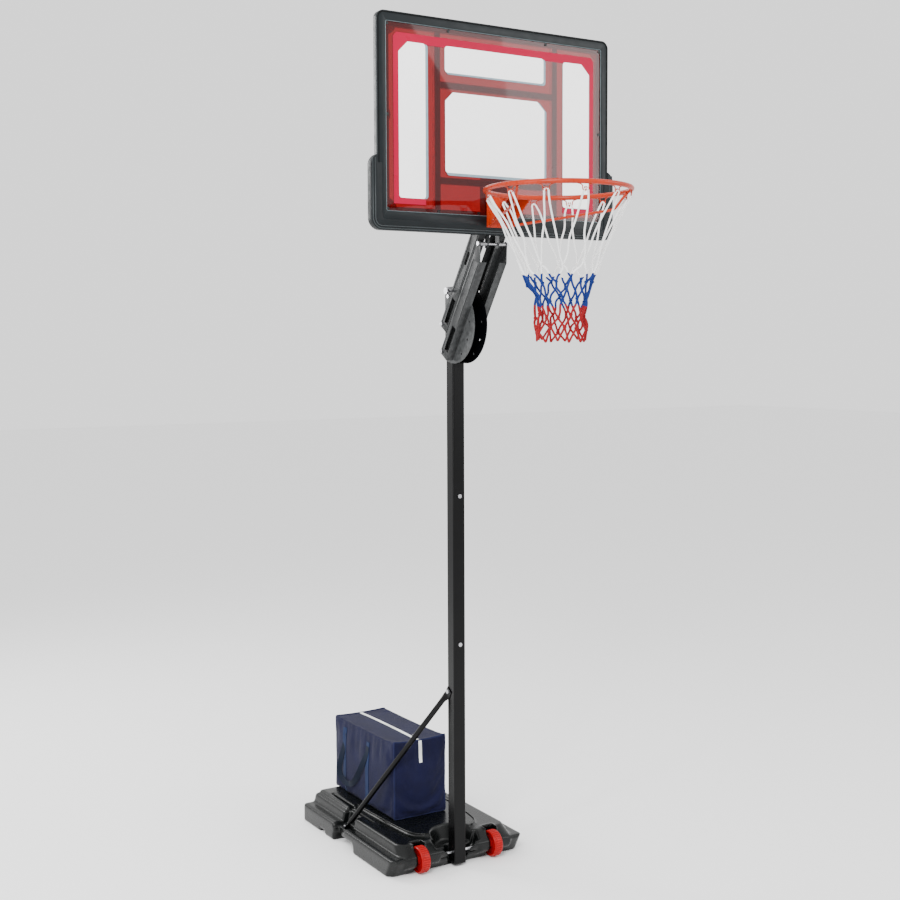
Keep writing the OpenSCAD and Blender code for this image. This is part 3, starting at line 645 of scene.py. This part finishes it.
def tank_field(grid):
    """Distance to the moulded tank, in metres about the pole's axis."""
    x, y, z = grid
    wide = np.abs(x)
    from_axle = np.hypot(y, z - AXLE_Z)
    field = tank_body(x, y, z)

    def block(low, high, radius):
        return box_field((wide, y, z), low, high, radius)

    gutter = block((0.192, 0.30, 0.103), (0.200, 0.66, 0.16), 0.003)
    field = blend_cut(field, gutter, 0.004)
    roll = np.maximum(from_axle - 0.0262, np.abs(wide - 0.158) - 0.0705)
    field = blend_union(field, roll, 0.007)
    slot = block((0.1380, -0.12, -0.1), (0.1820, 0.043, 0.3), 0.003)
    slot = np.minimum(slot, np.maximum(from_axle - 0.059, np.abs(wide - 0.16) - 0.022))
    lip = np.abs(slot - 0.003) - 0.0022
    lip = np.where((y > 0.008) & (z > 0.08), np.maximum(lip, z - 0.1135), 1)
    field = blend_union(field, lip, 0.004)
    field = blend_cut(field, slot, 0.0025)
    flare = 0.25 * (z - 0.055)
    notch = box_field((wide + flare, y, z), (0.222, 0.384, 0.056), (0.40, 0.472, 0.3), 0.007)
    gate = block((0.266, 0.404, 0.030), (0.36, 0.462, 0.2), 0.006)
    field = blend_cut(field, np.minimum(notch, gate), 0.006)
    under = block((0.242, 0.305, -0.1), (0.36, 0.470, 0.037), 0.014)
    small = block((0.242, 0.553, -0.1), (0.36, 0.592, 0.012), 0.008)
    field = blend_cut(field, np.minimum(under, small), 0.008)
    valley = 0.034 + 1.125 * np.clip(z - 0.006, 0, 0.048) + 0.24 * np.maximum(z - 0.054, 0)
    # a thin V of plastic closes the valley in front, below the axle
    throat = 0.034 + 0.26 * (z - 0.006)
    slant = -0.029 + 0.010 * np.clip((valley - wide) / (valley - throat + 0.004), 0, 1)
    behind = np.where((y > -0.010) & (z > 0.040) | (wide < throat), 0.030, slant)
    pocket = np.maximum(np.maximum((wide - valley) * 0.7, y - behind), 0.006 - z)
    heel = np.maximum(np.hypot(x, y - 0.029) - 0.034, 0.006 - z)
    basin = np.hypot(x, y - 0.024) - 0.074 - 0.283 * np.maximum(z - 0.062, 0)
    rim = np.hypot(basin + 0.001, z - 0.117) - 0.004
    field = blend_union(field, np.where(y > 0.045, rim, 1), 0.004)
    basin = np.maximum(basin, 0.062 - z)
    field = blend_cut(field, np.minimum(pocket, heel), 0.003)
    field = blend_cut(field, basin, 0.006)
    return np.maximum(field, -z)


def make_tank():
    low = np.array([-0.302, -0.040, -0.012])
    high = np.array([0.302, 0.768, 0.136])
    axes = [np.arange(low[a], high[a] + TANK_GRID, TANK_GRID) for a in range(3)]
    grid = np.meshgrid(*axes, indexing="ij")
    points, faces = surface_of(tank_field(grid), low, TANK_GRID)
    points = points + np.array([0, POLE_Y, 0])
    tank = add_mesh("moulded_tank", points.tolist(), faces.tolist(), PAINT["tank_plastic"], True)
    modify(tank, "CORRECTIVE_SMOOTH", iterations=8, smooth_type="SIMPLE", use_only_smooth=True)
    bake(tank)
    tank.data.shade_smooth()
    settle(tank, BASE, "tank_plastic", "base_tank")
    ridge = [(0.104, 0.060), (0.124, 0.076), (0.139, 0.098), (0.148, 0.130), (0.157, 0.200),
             (0.163, 0.300), (0.168, 0.450), (0.171, 0.600), (0.172, 0.690)]
    parts = []
    for side in (-1, 1):
        line = [(side * x, POLE_Y + y, 0.1180) for x, y in ridge]
        parts.append(sweep(smooth_path(line, 8), round_profile(0.0030, 12)))
    add_parts("deck_ridge", parts, PAINT["tank_plastic"], BASE, "tank_plastic")


# ---------- bag ----------

SIM_FRAMES = 24
STRAP_HALF = 0.0115
STRIP_WIDTH, STRIP_THICK, STRIP_ROWS = 0.025, 0.0014, 44
TAPE_WIDTH, TAPE_THICK = 0.013, 0.0010

def make_bag():
    low, high = (np.array(c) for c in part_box("ballast_bag"))
    low, high = low + [0.004, 0.004, 0.001], high - [0.004, 0.004, 0.003]
    middle, half = (low + high) / 2, (high - low) / 2
    mesh = bmesh.new()
    bmesh.ops.create_cube(mesh, size=2)
    bmesh.ops.subdivide_edges(mesh, edges=mesh.edges, cuts=31, use_grid_fill=True)
    for vert in mesh.verts:
        vert.co = Vector(middle + np.array(vert.co) * half)
    data = bpy.data.meshes.new("weight_bag")
    mesh.to_mesh(data)
    mesh.free()
    bag = put("weight_bag", data)
    start = np.array([v.co for v in data.vertices])
    place = (start - middle) / half
    inflate(bag, np.sort(np.abs(place), axis=1)[:, 1] > 0.999, place[:, 2] < -0.999)
    shape = relax(start, np.array([v.co for v in bag.data.vertices]), place)
    bag.data.vertices.foreach_set("co", shape.ravel())
    bag.data.update()
    bag.data.materials.append(PAINT["bag_fabric"])
    modify(bag, "SUBSURF", levels=1, render_levels=1)
    bake(bag)
    bag.data.shade_smooth()
    settle(bag, BASE, "bag_fabric", "ballast_bag")
    points = [v.co.copy() for v in bag.data.vertices]
    skin = BVHTree.FromPolygons(points, [tuple(f.vertices) for f in bag.data.polygons])
    parts = []
    for end in (-1, 1):
        rim = np.where((np.abs(place[:, 1] - end) < 1e-4)
                       & (np.max(np.abs(place[:, ::2]), axis=1) > 0.999))[0]
        rim = rim[np.argsort(np.arctan2(place[rim, 2], place[rim, 0]))]
        line = np.array([points[i] for i in rim])
        parts.append(sweep(line, round_profile(0.0034, 8), closed=True))
    add_parts("bag_piping", parts, PAINT["bag_piping"], BASE, "bag_fabric")
    return skin


def inflate(bag, on_edge, on_floor):
    """Blows the bag up a little between its seams, as its filling does."""
    pins = bag.vertex_groups.new(name="pins")
    pins.add([int(i) for i in np.where(on_edge | on_floor)[0]], 1.0, "REPLACE")
    cloth = modify(bag, "CLOTH")
    settings = {"quality": 6, "mass": 0.4, "tension_stiffness": 18, "compression_stiffness": 18,
                "shear_stiffness": 6, "bending_stiffness": 0.6, "use_pressure": True,
                "uniform_pressure_force": 1.6, "shrink_min": -0.022, "vertex_group_mass": "pins"}
    for key, value in settings.items():
        setattr(cloth.settings, key, value)
    cloth.settings.effector_weights.gravity = 0.35
    cloth.point_cache.frame_start, cloth.point_cache.frame_end = 1, SIM_FRAMES
    for moment in range(1, SIM_FRAMES + 1):
        bpy.context.scene.frame_set(moment)
    bake(bag)
    bpy.context.scene.frame_set(1)


def relax(start, blown, place):
    """Keeps the blown shape close to the sewn box and lets its seams and faces slacken."""
    u, v, w = place.T
    shape = start + np.clip(blown - start, [-0.010, -0.010, -0.003], [0.010, 0.010, 0.0025])
    top = np.clip(w, 0, 1)
    shape[:, 2] -= top ** 5 * (0.004 * (1 - u ** 2) * np.abs(v) ** 3 + 0.002 * (1 - v ** 2) * u ** 4)
    shape[:, 2] += top ** 3 * (0.004 * np.clip(-v, 0, 1) ** 2 * u ** 8 + 0.005 * np.clip(-v, 0, 1) ** 12)
    shape[:, 2] -= 0.0015 * (1 + v) * top
    side = 1 - w ** 2
    shape[:, 0] -= np.sign(u) * 0.002 * side * np.abs(u * v) ** 5
    shape[:, 1] -= np.sign(v) * 0.002 * side * np.abs(u * v) ** 5
    # slanting creases that fade towards the seams
    y, z = start[:, 1], start[:, 2]
    fold = np.sin(46 * y + 31 * z + 2.5 * np.sin(17 * z + 9 * y)) * np.sin(13 * y - 21 * z + 1.0)
    shape[:, 0] += np.sign(u) * np.abs(u) ** 9 * 0.0010 * fold * side * (1 - v ** 2)
    x = start[:, 0]
    fold = np.sin(52 * x + 38 * z + 2 * np.sin(19 * z)) * np.sin(17 * x - 24 * z + 0.4)
    shape[:, 1] += np.sign(v) * np.abs(v) ** 9 * 0.0020 * fold * side * (1 - u ** 2)
    return shape


def laid(skin, centre, across, outward, width, thick, lift=0.0004):
    """Points and faces of a band laid on the bag along a line; across and outward are the
    directions of its width and of its face at each point of the line."""
    loops = []
    for c, a, o in zip(centre, across, outward):
        row = [np.array(skin.find_nearest(Vector(c + a * share * width))[0])
               for share in np.linspace(-0.5, 0.5, 7)]
        loops.append([p - o * 0.002 for p in row] + [p + o * (thick + lift) for p in reversed(row)])
    return loft(np.array(loops))


def loft(loops):
    """Points and faces that join rings of points one after the other, with closed ends."""
    count, sides = len(loops), len(loops[0])
    faces = ring_faces(count, sides)
    faces.append(tuple(reversed(range(sides))))
    faces.append(tuple((count - 1) * sides + k for k in range(sides)))
    return list(loops.reshape(-1, 3)), faces


def make_handles(skin):
    low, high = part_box("ballast_bag")
    for side, name, node in ((-1, "left", "bag_handle_left"), (1, "right", "bag_handle_right")):
        face = high[0] if side > 0 else low[0]
        # (Y about the pole, height, distance from the bag's side, turn of the webbing)
        loop = [(0.650, 0.368, 0.003, 0), (0.650, 0.335, 0.004, 4), (0.656, 0.292, 0.008, 16),
                (0.664, 0.250, 0.012, 30), (0.668, 0.216, 0.014, 40), (0.652, 0.186, 0.015, 34),
                (0.612, 0.171, 0.015, 12), (0.566, 0.181, 0.015, -14), (0.524, 0.212, 0.014, -32),
                (0.490, 0.256, 0.012, -34), (0.466, 0.302, 0.008, -18), (0.453, 0.338, 0.004, -4),
                (0.451, 0.362, 0.003, 0)]
        line = smooth_path([(face + side * d, POLE_Y + y, z) for y, z, d, _ in loop], 6)
        turns = smooth_path([(turn, 0, 0) for *_, turn in loop], 6)[:, 0]
        along = np.gradient(line, axis=0)
        along /= np.linalg.norm(along, axis=1)[:, None]
        loops = []
        for p, t, turn in zip(line, along, np.radians(turns)):
            flat = np.cross((side, 0, 0), t)
            flat /= np.linalg.norm(flat)
            out = np.array([side, 0, 0])
            across = flat * math.cos(turn) - out * math.sin(turn)
            lift = np.cross(t, across) * 0.0011
            middle = p + out * 0.012 * abs(math.sin(turn))
            loops.append([middle + across * a + lift * b
                          for a, b in ((-STRAP_HALF, -1), (0, -1), (STRAP_HALF, -1),
                                       (STRAP_HALF, 1), (0, 1), (-STRAP_HALF, 1))])
        add_band("bag_strap_" + name, [loft(np.array(loops))], PAINT["webbing"], "webbing", node)
        parts = []
        for y, top, bottom in ((0.650, 0.392, 0.122), (0.451, 0.380, 0.124)):
            centre = np.array([(face, POLE_Y + y, z) for z in np.linspace(top, bottom, STRIP_ROWS)])
            across = [np.array([0, 1, 0])] * STRIP_ROWS
            outward = [np.array([side, 0, 0])] * STRIP_ROWS
            parts.append(laid(skin, centre, across, outward, STRIP_WIDTH, STRIP_THICK))
        add_band("bag_strips_" + name, parts, PAINT["strip_webbing"], "webbing")


def make_zip(skin):
    low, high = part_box("ballast_bag")
    middle = (low[0] + high[0]) / 2
    # from the rear edge over the top and a third of the way down the front
    line = smooth_path([(low_y, z) for low_y, z in ((high[1] - 0.006, high[2]), (low[1] + 0.3, high[2]),
                        (low[1] + 0.03, high[2]), (low[1], high[2] - 0.03),
                        (low[1], high[2] - 0.06), (low[1], high[2] - 0.092))], 14)
    centre = np.array([(middle, y, z) for y, z in line])
    down = np.clip((high[2] - centre[:, 2]) / 0.03, 0, 1)
    outward = np.stack([np.zeros(len(line)), -np.sin(down * math.pi / 2),
                        np.cos(down * math.pi / 2)], 1)
    across = [np.array([1, 0, 0])] * len(line)
    tape = laid(skin, centre, across, outward, TAPE_WIDTH, TAPE_THICK)
    add_band("zip_tape", [tape], PAINT["zip_tape"], "bag_fabric")


# ---------- braces ----------

# Right brace about the pole's axis: its two bolts, and the ends of its straight part
BRACE_TOP, BRACE_FOOT = np.array([0.0272, 0.012, 0.667]), np.array([0.248, 0.446, 0.0572])
TUBE_TOP, TUBE_FOOT = np.array([0.0345, 0.034, 0.637]), np.array([0.240, 0.416, 0.082])
TUBE_SIZE, FLAT_SIZE = np.array([0.0105, 0.0105]), np.array([0.0021, 0.0165])


def unit_rows(rows):
    return rows / np.linalg.norm(rows, axis=1)[:, None]


def brace_line():
    line = [BRACE_TOP + (BRACE_TOP - TUBE_TOP) * 0.25 * np.array([0, 1, 1]), BRACE_TOP,
            BRACE_TOP + np.array([0.001, 0.008, -0.014]), TUBE_TOP]
    line += [TUBE_TOP + (TUBE_FOOT - TUBE_TOP) * t for t in (0.05, 0.15, 0.5, 0.85, 0.95)]
    line += [TUBE_FOOT, BRACE_FOOT + np.array([-0.001, -0.014, 0.001]), BRACE_FOOT,
             BRACE_FOOT + np.array([0.0, 0.014, 0.0])]
    return smooth_path(line, 8)


def brace_profile(place, sides=20):
    """Round along the tube, pressed flat at both bolts."""
    near = min(np.linalg.norm(place - BRACE_TOP), np.linalg.norm(place - BRACE_FOOT))
    flat = 1 - min(1, max(0, (near - 0.018) / 0.04))
    flat = flat * flat * (3 - 2 * flat)
    return round_profile(1, sides) * (TUBE_SIZE * (1 - flat) + FLAT_SIZE * flat)


def brace_ups(path):
    """Near the pole the flat lies against its side; at the foot it lies on the tank."""
    count = len(path)
    mid = count // 2
    blend = np.clip((np.arange(count) - mid * 0.6) / (mid * 0.8), 0, 1)[:, None]
    tangents = unit_rows(np.gradient(path, axis=0))
    up_top = unit_rows(np.cross(tangents, (1.0, 0, 0)) * -1)
    up_foot = unit_rows(np.cross(tangents, (0, 0, 1.0)) * -1)
    up_foot[np.sum(up_top * up_foot, axis=1) < 0] *= -1
    return up_top * (1 - blend) + up_foot * blend


def make_braces():
    right = brace_line()
    profiles = [brace_profile(p) for p in right]
    for side, node in ((-1, "brace_left"), (1, "brace_right")):
        path = right * np.array([side, 1, 1]) + np.array([0, POLE_Y, 0])
        ups = brace_ups(right) * np.array([side, 1, 1])
        points, faces = sweep(path, profiles, ups=ups)
        brace = add_mesh(node + "_tube", points, faces, PAINT["black_paint"])
        shade_by_angle(brace, 50)
        settle(brace, BASE, "black_paint", node)


# ---------- board ----------

WINDOW_ROUND = 0.012


def chamfered(x0, x1, z0, z1, cuts):
    """Outline of a window; cuts gives the size of the slanted corner at each of the four corners,
    from the low left anticlockwise, where 0 is a round corner."""
    corners = [(x0, z0, 1, 1), (x1, z0, -1, 1), (x1, z1, -1, -1), (x0, z1, 1, -1)]
    outline = []
    for (x, z, dx, dz), cut in zip(corners, cuts):
        order = [(0, dz), (dx, 0)] if (dx > 0) == (dz > 0) else [(dx, 0), (0, dz)]
        size = cut if cut else WINDOW_ROUND
        a = np.array([x, z]) + np.array(order[0]) * size
        b = np.array([x, z]) + np.array(order[1]) * size
        if cut:
            outline += [tuple(a), tuple(b)]
        else:
            corner = np.array([x, z])
            for t in np.linspace(0, 1, 6):
                outline.append(tuple((1 - t) ** 2 * a + 2 * t * (1 - t) * corner + t * t * b))
    return outline


def print_patch(outline, y, thick):
    """A thin printed patch, its outline in X and Z, from y to y + thick."""
    count = len(outline)
    points = [(x, y, z) for x, z in outline] + [(x, y + thick, z) for x, z in outline]
    faces = [tuple(range(count)), tuple(reversed(range(count, 2 * count)))]
    faces += [(i, i + count, (i + 1) % count + count, (i + 1) % count) for i in range(count)]
    return points, faces


def make_prints():
    front = panel_low[1]
    back = panel_high[1]
    thin = 0.0003
    windows = [
        chamfered(-0.213, 0.195, 2.543, 2.812, (0, 0, 0.030, 0.030)),
        chamfered(-0.214, 0.191, 2.876, 2.963, (0, 0, 0, 0)),
        chamfered(-0.392, -0.290, 2.450, 2.961, (0, 0, 0, 0.034)),
        chamfered(0.275, 0.390, 2.450, 2.961, (0, 0, 0.034, 0)),
    ]
    # painted shadow: grey-blue strips along the right and lower edges of the windows
    shadows = [chamfered(-0.207, 0.204, 2.534, 2.809, (0, 0, 0.030, 0.030)),
               chamfered(-0.208, 0.200, 2.870, 2.961, (0, 0, 0, 0)),
               chamfered(-0.386, -0.280, 2.450, 2.959, (0, 0, 0, 0.034)),
               chamfered(0.283, 0.392, 2.448, 2.959, (0, 0, 0.034, 0))]
    border = [(-0.412, 2.430), (-0.290, 2.430), (-0.290, 2.452), (-0.388, 2.452), (-0.388, 2.923),
              (-0.354, 2.957), (0.352, 2.957), (0.386, 2.923), (0.386, 2.452), (0.275, 2.452),
              (0.275, 2.430), (0.410, 2.430), (0.410, 2.975), (0.398, 2.988), (-0.400, 2.988),
              (-0.412, 2.975)]
    for name, outlines, depth, material in (
            ("window_prints", windows, 3, "white_print"), ("painted_window_shadows", shadows, 2, "window_shadow_paint"),
            ("border_prints", [border], 1, "pink_print")):
        parts = []
        for outline in outlines:
            parts.append(print_patch(outline, front - depth * thin, thin * 0.9))
            parts.append(print_patch(outline, back + (depth - 0.9) * thin, thin * 0.9))
        piece = add_mesh(name, *gather(parts), PAINT[material])
        modify(piece, "TRIANGULATE")
        bake(piece)
        face_outward(piece)
        settle(piece, BOARD, "clear_panel")


def round_corner(centre, radius, first, last, count=8):
    """Arc in X and Z, its ends given as angles in degrees."""
    angles = np.radians(np.linspace(first, last, count))
    return [(centre[0] + radius * math.cos(a), centre[1] + radius * math.sin(a)) for a in angles]


def make_frame_edge():
    """A painted highlight, a thin light strip round the opening of the frame where its lip catches the
    light, and a dark line near its outer edge.
    """
    for name, x, low, high, r, thick, material in (
            ("painted_lip_highlight", frame_high[0] - 0.0327, frame_low[2] + 0.0427, frame_high[2] - 0.0327,
             0.006, 0.0009, "lip_highlight_paint"),
            ("frame_line", frame_high[0] - 0.0052, frame_low[2] + 0.0052, frame_high[2] - 0.0052,
             0.022, 0.0016, "seal_rubber")):
        outline = []
        for px, pz, turn in ((x - r, high - r, 0), (r - x, high - r, 90), (r - x, low + r, 180),
                             (x - r, low + r, 270)):
            outline += round_corner((px, pz), r, turn, turn + 90)
        line = [(px, frame_low[1] - 0.0002, pz) for px, pz in outline]
        ring = sweep(line, round_profile(thick, 8), closed=True, up=(0, 1, 0))
        settle(add_mesh(name, *ring, PAINT[material], True), BOARD, "frame_plastic")


def make_pad_ridges():
    """Ridges moulded along the pad's front face, drawn in a lighter copy of the pad's colour as a
    painted highlight.
    """
    low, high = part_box("board_pad")
    parts = []
    for inset in (0.006, 0.0155):
        x, z, r = high[0] - inset, low[2] + inset * 0.85, 0.040 - inset
        outline = [(x, high[2] - 0.012)] + round_corner((x - r, z + r), r, 0, -90)
        outline += [(-px, pz) for px, pz in reversed(outline)]
        line = [(px, low[1] - 0.0002, pz) for px, pz in outline]
        parts.append(sweep(line, round_profile(0.0016, 8), up=(0, 1, 0)))
    add_parts("pad_ridges", parts, PAINT["ridge_highlight_paint"], BOARD, "pad_foam")


def make_tabs():
    """Round ears behind the panel that its corner and side screws go through."""
    x, low, high = frame_high[0] - 0.033, frame_low[2] + 0.043, frame_high[2] - 0.033
    middle = (frame_low[2] + frame_high[2]) / 2 + 0.012
    back = panel_high[1] + 0.0012
    parts = []
    for side in (-1, 1):
        for z, turn in ((high, -1), (low, 1)):
            arc = round_corner((0, 0), 0.044, 0, 90)
            parts.append(print_patch([(side * (x - a), z + turn * b) for a, b in [(0, 0)] + arc],
                                     back, 0.0015))
        arc = [(0.020 * math.sin(a), 0.026 * math.cos(a)) for a in np.linspace(0, math.pi, 14)]
        parts.append(print_patch([(side * (x - a), middle + b) for a, b in arc], back, 0.0015))
    tabs = add_mesh("panel_tabs", *gather(parts), PAINT["panel_tab"])
    face_outward(tabs)
    settle(tabs, BOARD, "frame_plastic")


# ---------- rim and net ----------

HOOKS = 12
HOOK_STEP = 2 * math.pi / HOOKS
# (height, radius, turn in hooks) of each row of knots, from the top
NET_ROWS = [(2.222, 0.130, 0.0), (2.165, 0.107, 0.5), (2.108, 0.088, 0.0), (2.052, 0.080, 0.5),
            (2.008, 0.080, 0.0)]
NET_DRIFT = 0.012
THIN_CORD, THICK_CORD = round_profile(0.0031, 8), round_profile(0.0036, 8)


def make_rim_wires():
    parts = []
    # (distance along the ring, height) in millimetres of one bent wire hook
    shape = [(-25, -7), (-17, -9), (-11, -14), (-10, -24), (-6.5, -27), (-4, -19), (-2.2, -18),
             (0, -31), (2.2, -18), (4, -19), (6.5, -27), (10, -24), (11, -14), (17, -9), (25, -7)]
    for i in range(HOOKS):
        angle = (i + 0.5) * HOOK_STEP
        out = np.array([math.cos(angle), math.sin(angle), 0])
        along = np.array([-math.sin(angle), math.cos(angle), 0])
        centre = np.array([0, RIM_Y, RIM_Z])
        line = []
        for t, h in shape:
            bend = (t * MM) ** 2 / (2 * RING_R)
            line.append(centre + out * (RING_R - bend) + along * t * MM + np.array([0, 0, h * MM]))
        parts.append(sweep(smooth_path(line, 4), round_profile(0.0017, 8)))
    add_parts("wire_hooks", parts, PAINT["orange_paint"], BOARD, "orange_paint", "net_hooks")
    for side, node in ((-1, "rim_brace_left"), (1, "rim_brace_right")):
        line = [(0.045, -0.2995, 2.374), (0.060, -0.338, 2.377), (0.120, -0.491, 2.388),
                (0.180, -0.644, 2.4), (0.194, -0.680, 2.4035), (0.200, -0.693, 2.412),
                (0.209, -0.712, 2.436), (0.216, -0.727, 2.453)]
        line = [(side * x, POLE_Y + y, z) for x, y, z in line]
        rod = add_mesh(node + "_rod", *sweep(smooth_path(line, 6), round_profile(0.0045, 14)),
                       PAINT["orange_paint"], True)
        shade_by_angle(rod, 50)
        settle(rod, BOARD, "orange_paint", node)


def net_place(angle, radius, z):
    """A place in the net; its lower part hangs a little to the right."""
    drift = NET_DRIFT * min(1, max(0, (RIM_Z - z) / 0.3))
    return np.array([math.cos(angle) * radius + drift, RIM_Y + math.sin(angle) * radius, z])


def cord_along(points, spans, profile):
    return sweep(smooth_path(points, spans), profile)


def hook_strands(dice, hook, knots):
    """The two cords that hang from a hook to its knots, and the loop over the hook."""
    parts, ends = [], []
    for side, knot in zip((-1, 1), knots):
        top = net_place(hook + side * 0.030, RING_R, RIM_Z - 0.026)
        line = [top]
        for share in (0.14, 0.38, 0.62, 0.84):
            at = top * (1 - share) + knot * share
            radial = at - np.array([0, RIM_Y, at[2]])
            radial /= np.linalg.norm(radial)
            along = np.cross(radial, (0, 0, 1))
            line.append(at - radial * dice.uniform(0.0, 0.010) * math.sin(math.pi * share)
                        + along * dice.uniform(-0.005, 0.005))
        ends.append(top)
        parts.append(cord_along(line + [knot], 5, THIN_CORD))
    crown = net_place(hook, RING_R - 0.001, RIM_Z - 0.0215)
    return parts + [cord_along([ends[0], crown, ends[1]], 5, THIN_CORD)]


def mesh_side(dice, a, b):
    """One slack side of a mesh, between two knots."""
    radial = (a + b) / 2 - np.array([NET_DRIFT, RIM_Y, (a[2] + b[2]) / 2])
    radial /= max(1e-6, np.linalg.norm(radial))
    twist = np.cross(radial, b - a) * dice.uniform(-0.09, 0.09)
    bow = radial * dice.uniform(-0.002, 0.006)
    return cord_along([a, a * 0.7 + b * 0.3 + bow + twist, a * 0.3 + b * 0.7 + bow - twist * 0.6, b],
                      4, THICK_CORD)


def bottom_loop(dice, i, a, b):
    low = net_place((i + 0.5) * HOOK_STEP + dice.uniform(-0.08, 0.08), 0.080,
                    1.968 + dice.uniform(0, 0.012))
    return cord_along([a, low * 0.7 + a * 0.3, low, low * 0.7 + b * 0.3, b], 5, THICK_CORD)


def make_net():
    dice = random.Random(11)
    knots = []
    for z, radius, offset in NET_ROWS:
        knots.append([net_place((i + offset) * HOOK_STEP + dice.uniform(-0.07, 0.07),
                                radius + dice.uniform(-0.009, 0.007), z + dice.uniform(-0.011, 0.011))
                      for i in range(HOOKS)])
    parts = []
    for i in range(HOOKS):
        parts += hook_strands(dice, (i + 0.5) * HOOK_STEP, (knots[0][i], knots[0][(i + 1) % HOOKS]))
    for row in range(len(NET_ROWS) - 1):
        lift = 0 if NET_ROWS[row][2] == 0 else 1
        for i in range(HOOKS):
            for side in (-1, 1):
                below = knots[row + 1][(i + (side - 1) // 2 + lift) % HOOKS]
                parts.append(mesh_side(dice, knots[row][i], below))
    for i in range(HOOKS):
        parts.append(bottom_loop(dice, i, knots[-1][i], knots[-1][(i + 1) % HOOKS]))
    add_parts("knotted_net", parts, PAINT["net_cord"], BOARD, "net_cord", "net")
    wraps = [overhand(p, dice.uniform(0, math.pi)) for row in knots for p in row]
    add_parts("net_knots", wraps, PAINT["net_cord"], BOARD, "net_cord")


def overhand(centre, turn):
    """Small overhand knot of cord."""
    loop = []
    for t in np.linspace(0, 2 * math.pi, 19)[:-1]:
        x = (math.sin(t) + 2 * math.sin(2 * t)) * 0.0017
        y = (math.cos(t) - 2 * math.cos(2 * t)) * 0.0017
        z = -math.sin(3 * t) * 0.0022
        loop.append(centre + np.array([x * math.cos(turn) - z * math.sin(turn),
                                       x * math.sin(turn) + z * math.cos(turn), y]))
    return sweep(loop, round_profile(0.0026, 7), closed=True)


# ---------- carried-over CAD nodes ----------

# Nodes whose edges are rounded: the rounding's width, the slot and the body
SOFTENED = {
    "board_frame": (0.003, "frame_plastic", BOARD),
    "board_pad": (0.0035, "pad_foam", BOARD),
    "rim_plate": (0.0008, "orange_paint", BOARD),
    "upper_arm_left": (0.0006, "grey_paint", UPPER),
    "upper_arm_right": (0.0006, "grey_paint", UPPER),
    "lower_arm_left": (0.0006, "grey_paint", LOWER),
    "lower_arm_right": (0.0006, "grey_paint", LOWER),
    "wheel_left": (0.0007, "red_plastic", "wheel_left"),
    "wheel_right": (0.0007, "red_plastic", "wheel_right"),
}


def paint_nodes():
    slots = {part["node"]: part["material_slot"] for part in frame["record"]["subparts"]}
    for name, piece in frame["nodes"].items():
        material = PAINT[slots[name]]
        # painted shade: the far index plate takes the near-black copy of the grey paint
        if name == "index_plate_right":
            material = PAINT["shaded_plate_paint"]
        if name == "zip_slider":
            material = PAINT["zip_metal"]
        for slot in piece.material_slots:
            slot.material = material


def make_all():
    make_camera()
    make_studio()
    make_materials()
    paint_nodes()
    for node, (width, slot, body) in SOFTENED.items():
        softened(node, width, slot, body)
    make_tank()
    skin = make_bag()
    make_handles(skin)
    make_zip(skin)
    make_braces()
    make_prints()
    make_frame_edge()
    make_pad_ridges()
    make_tabs()
    make_rim_wires()
    make_net()


make_all()
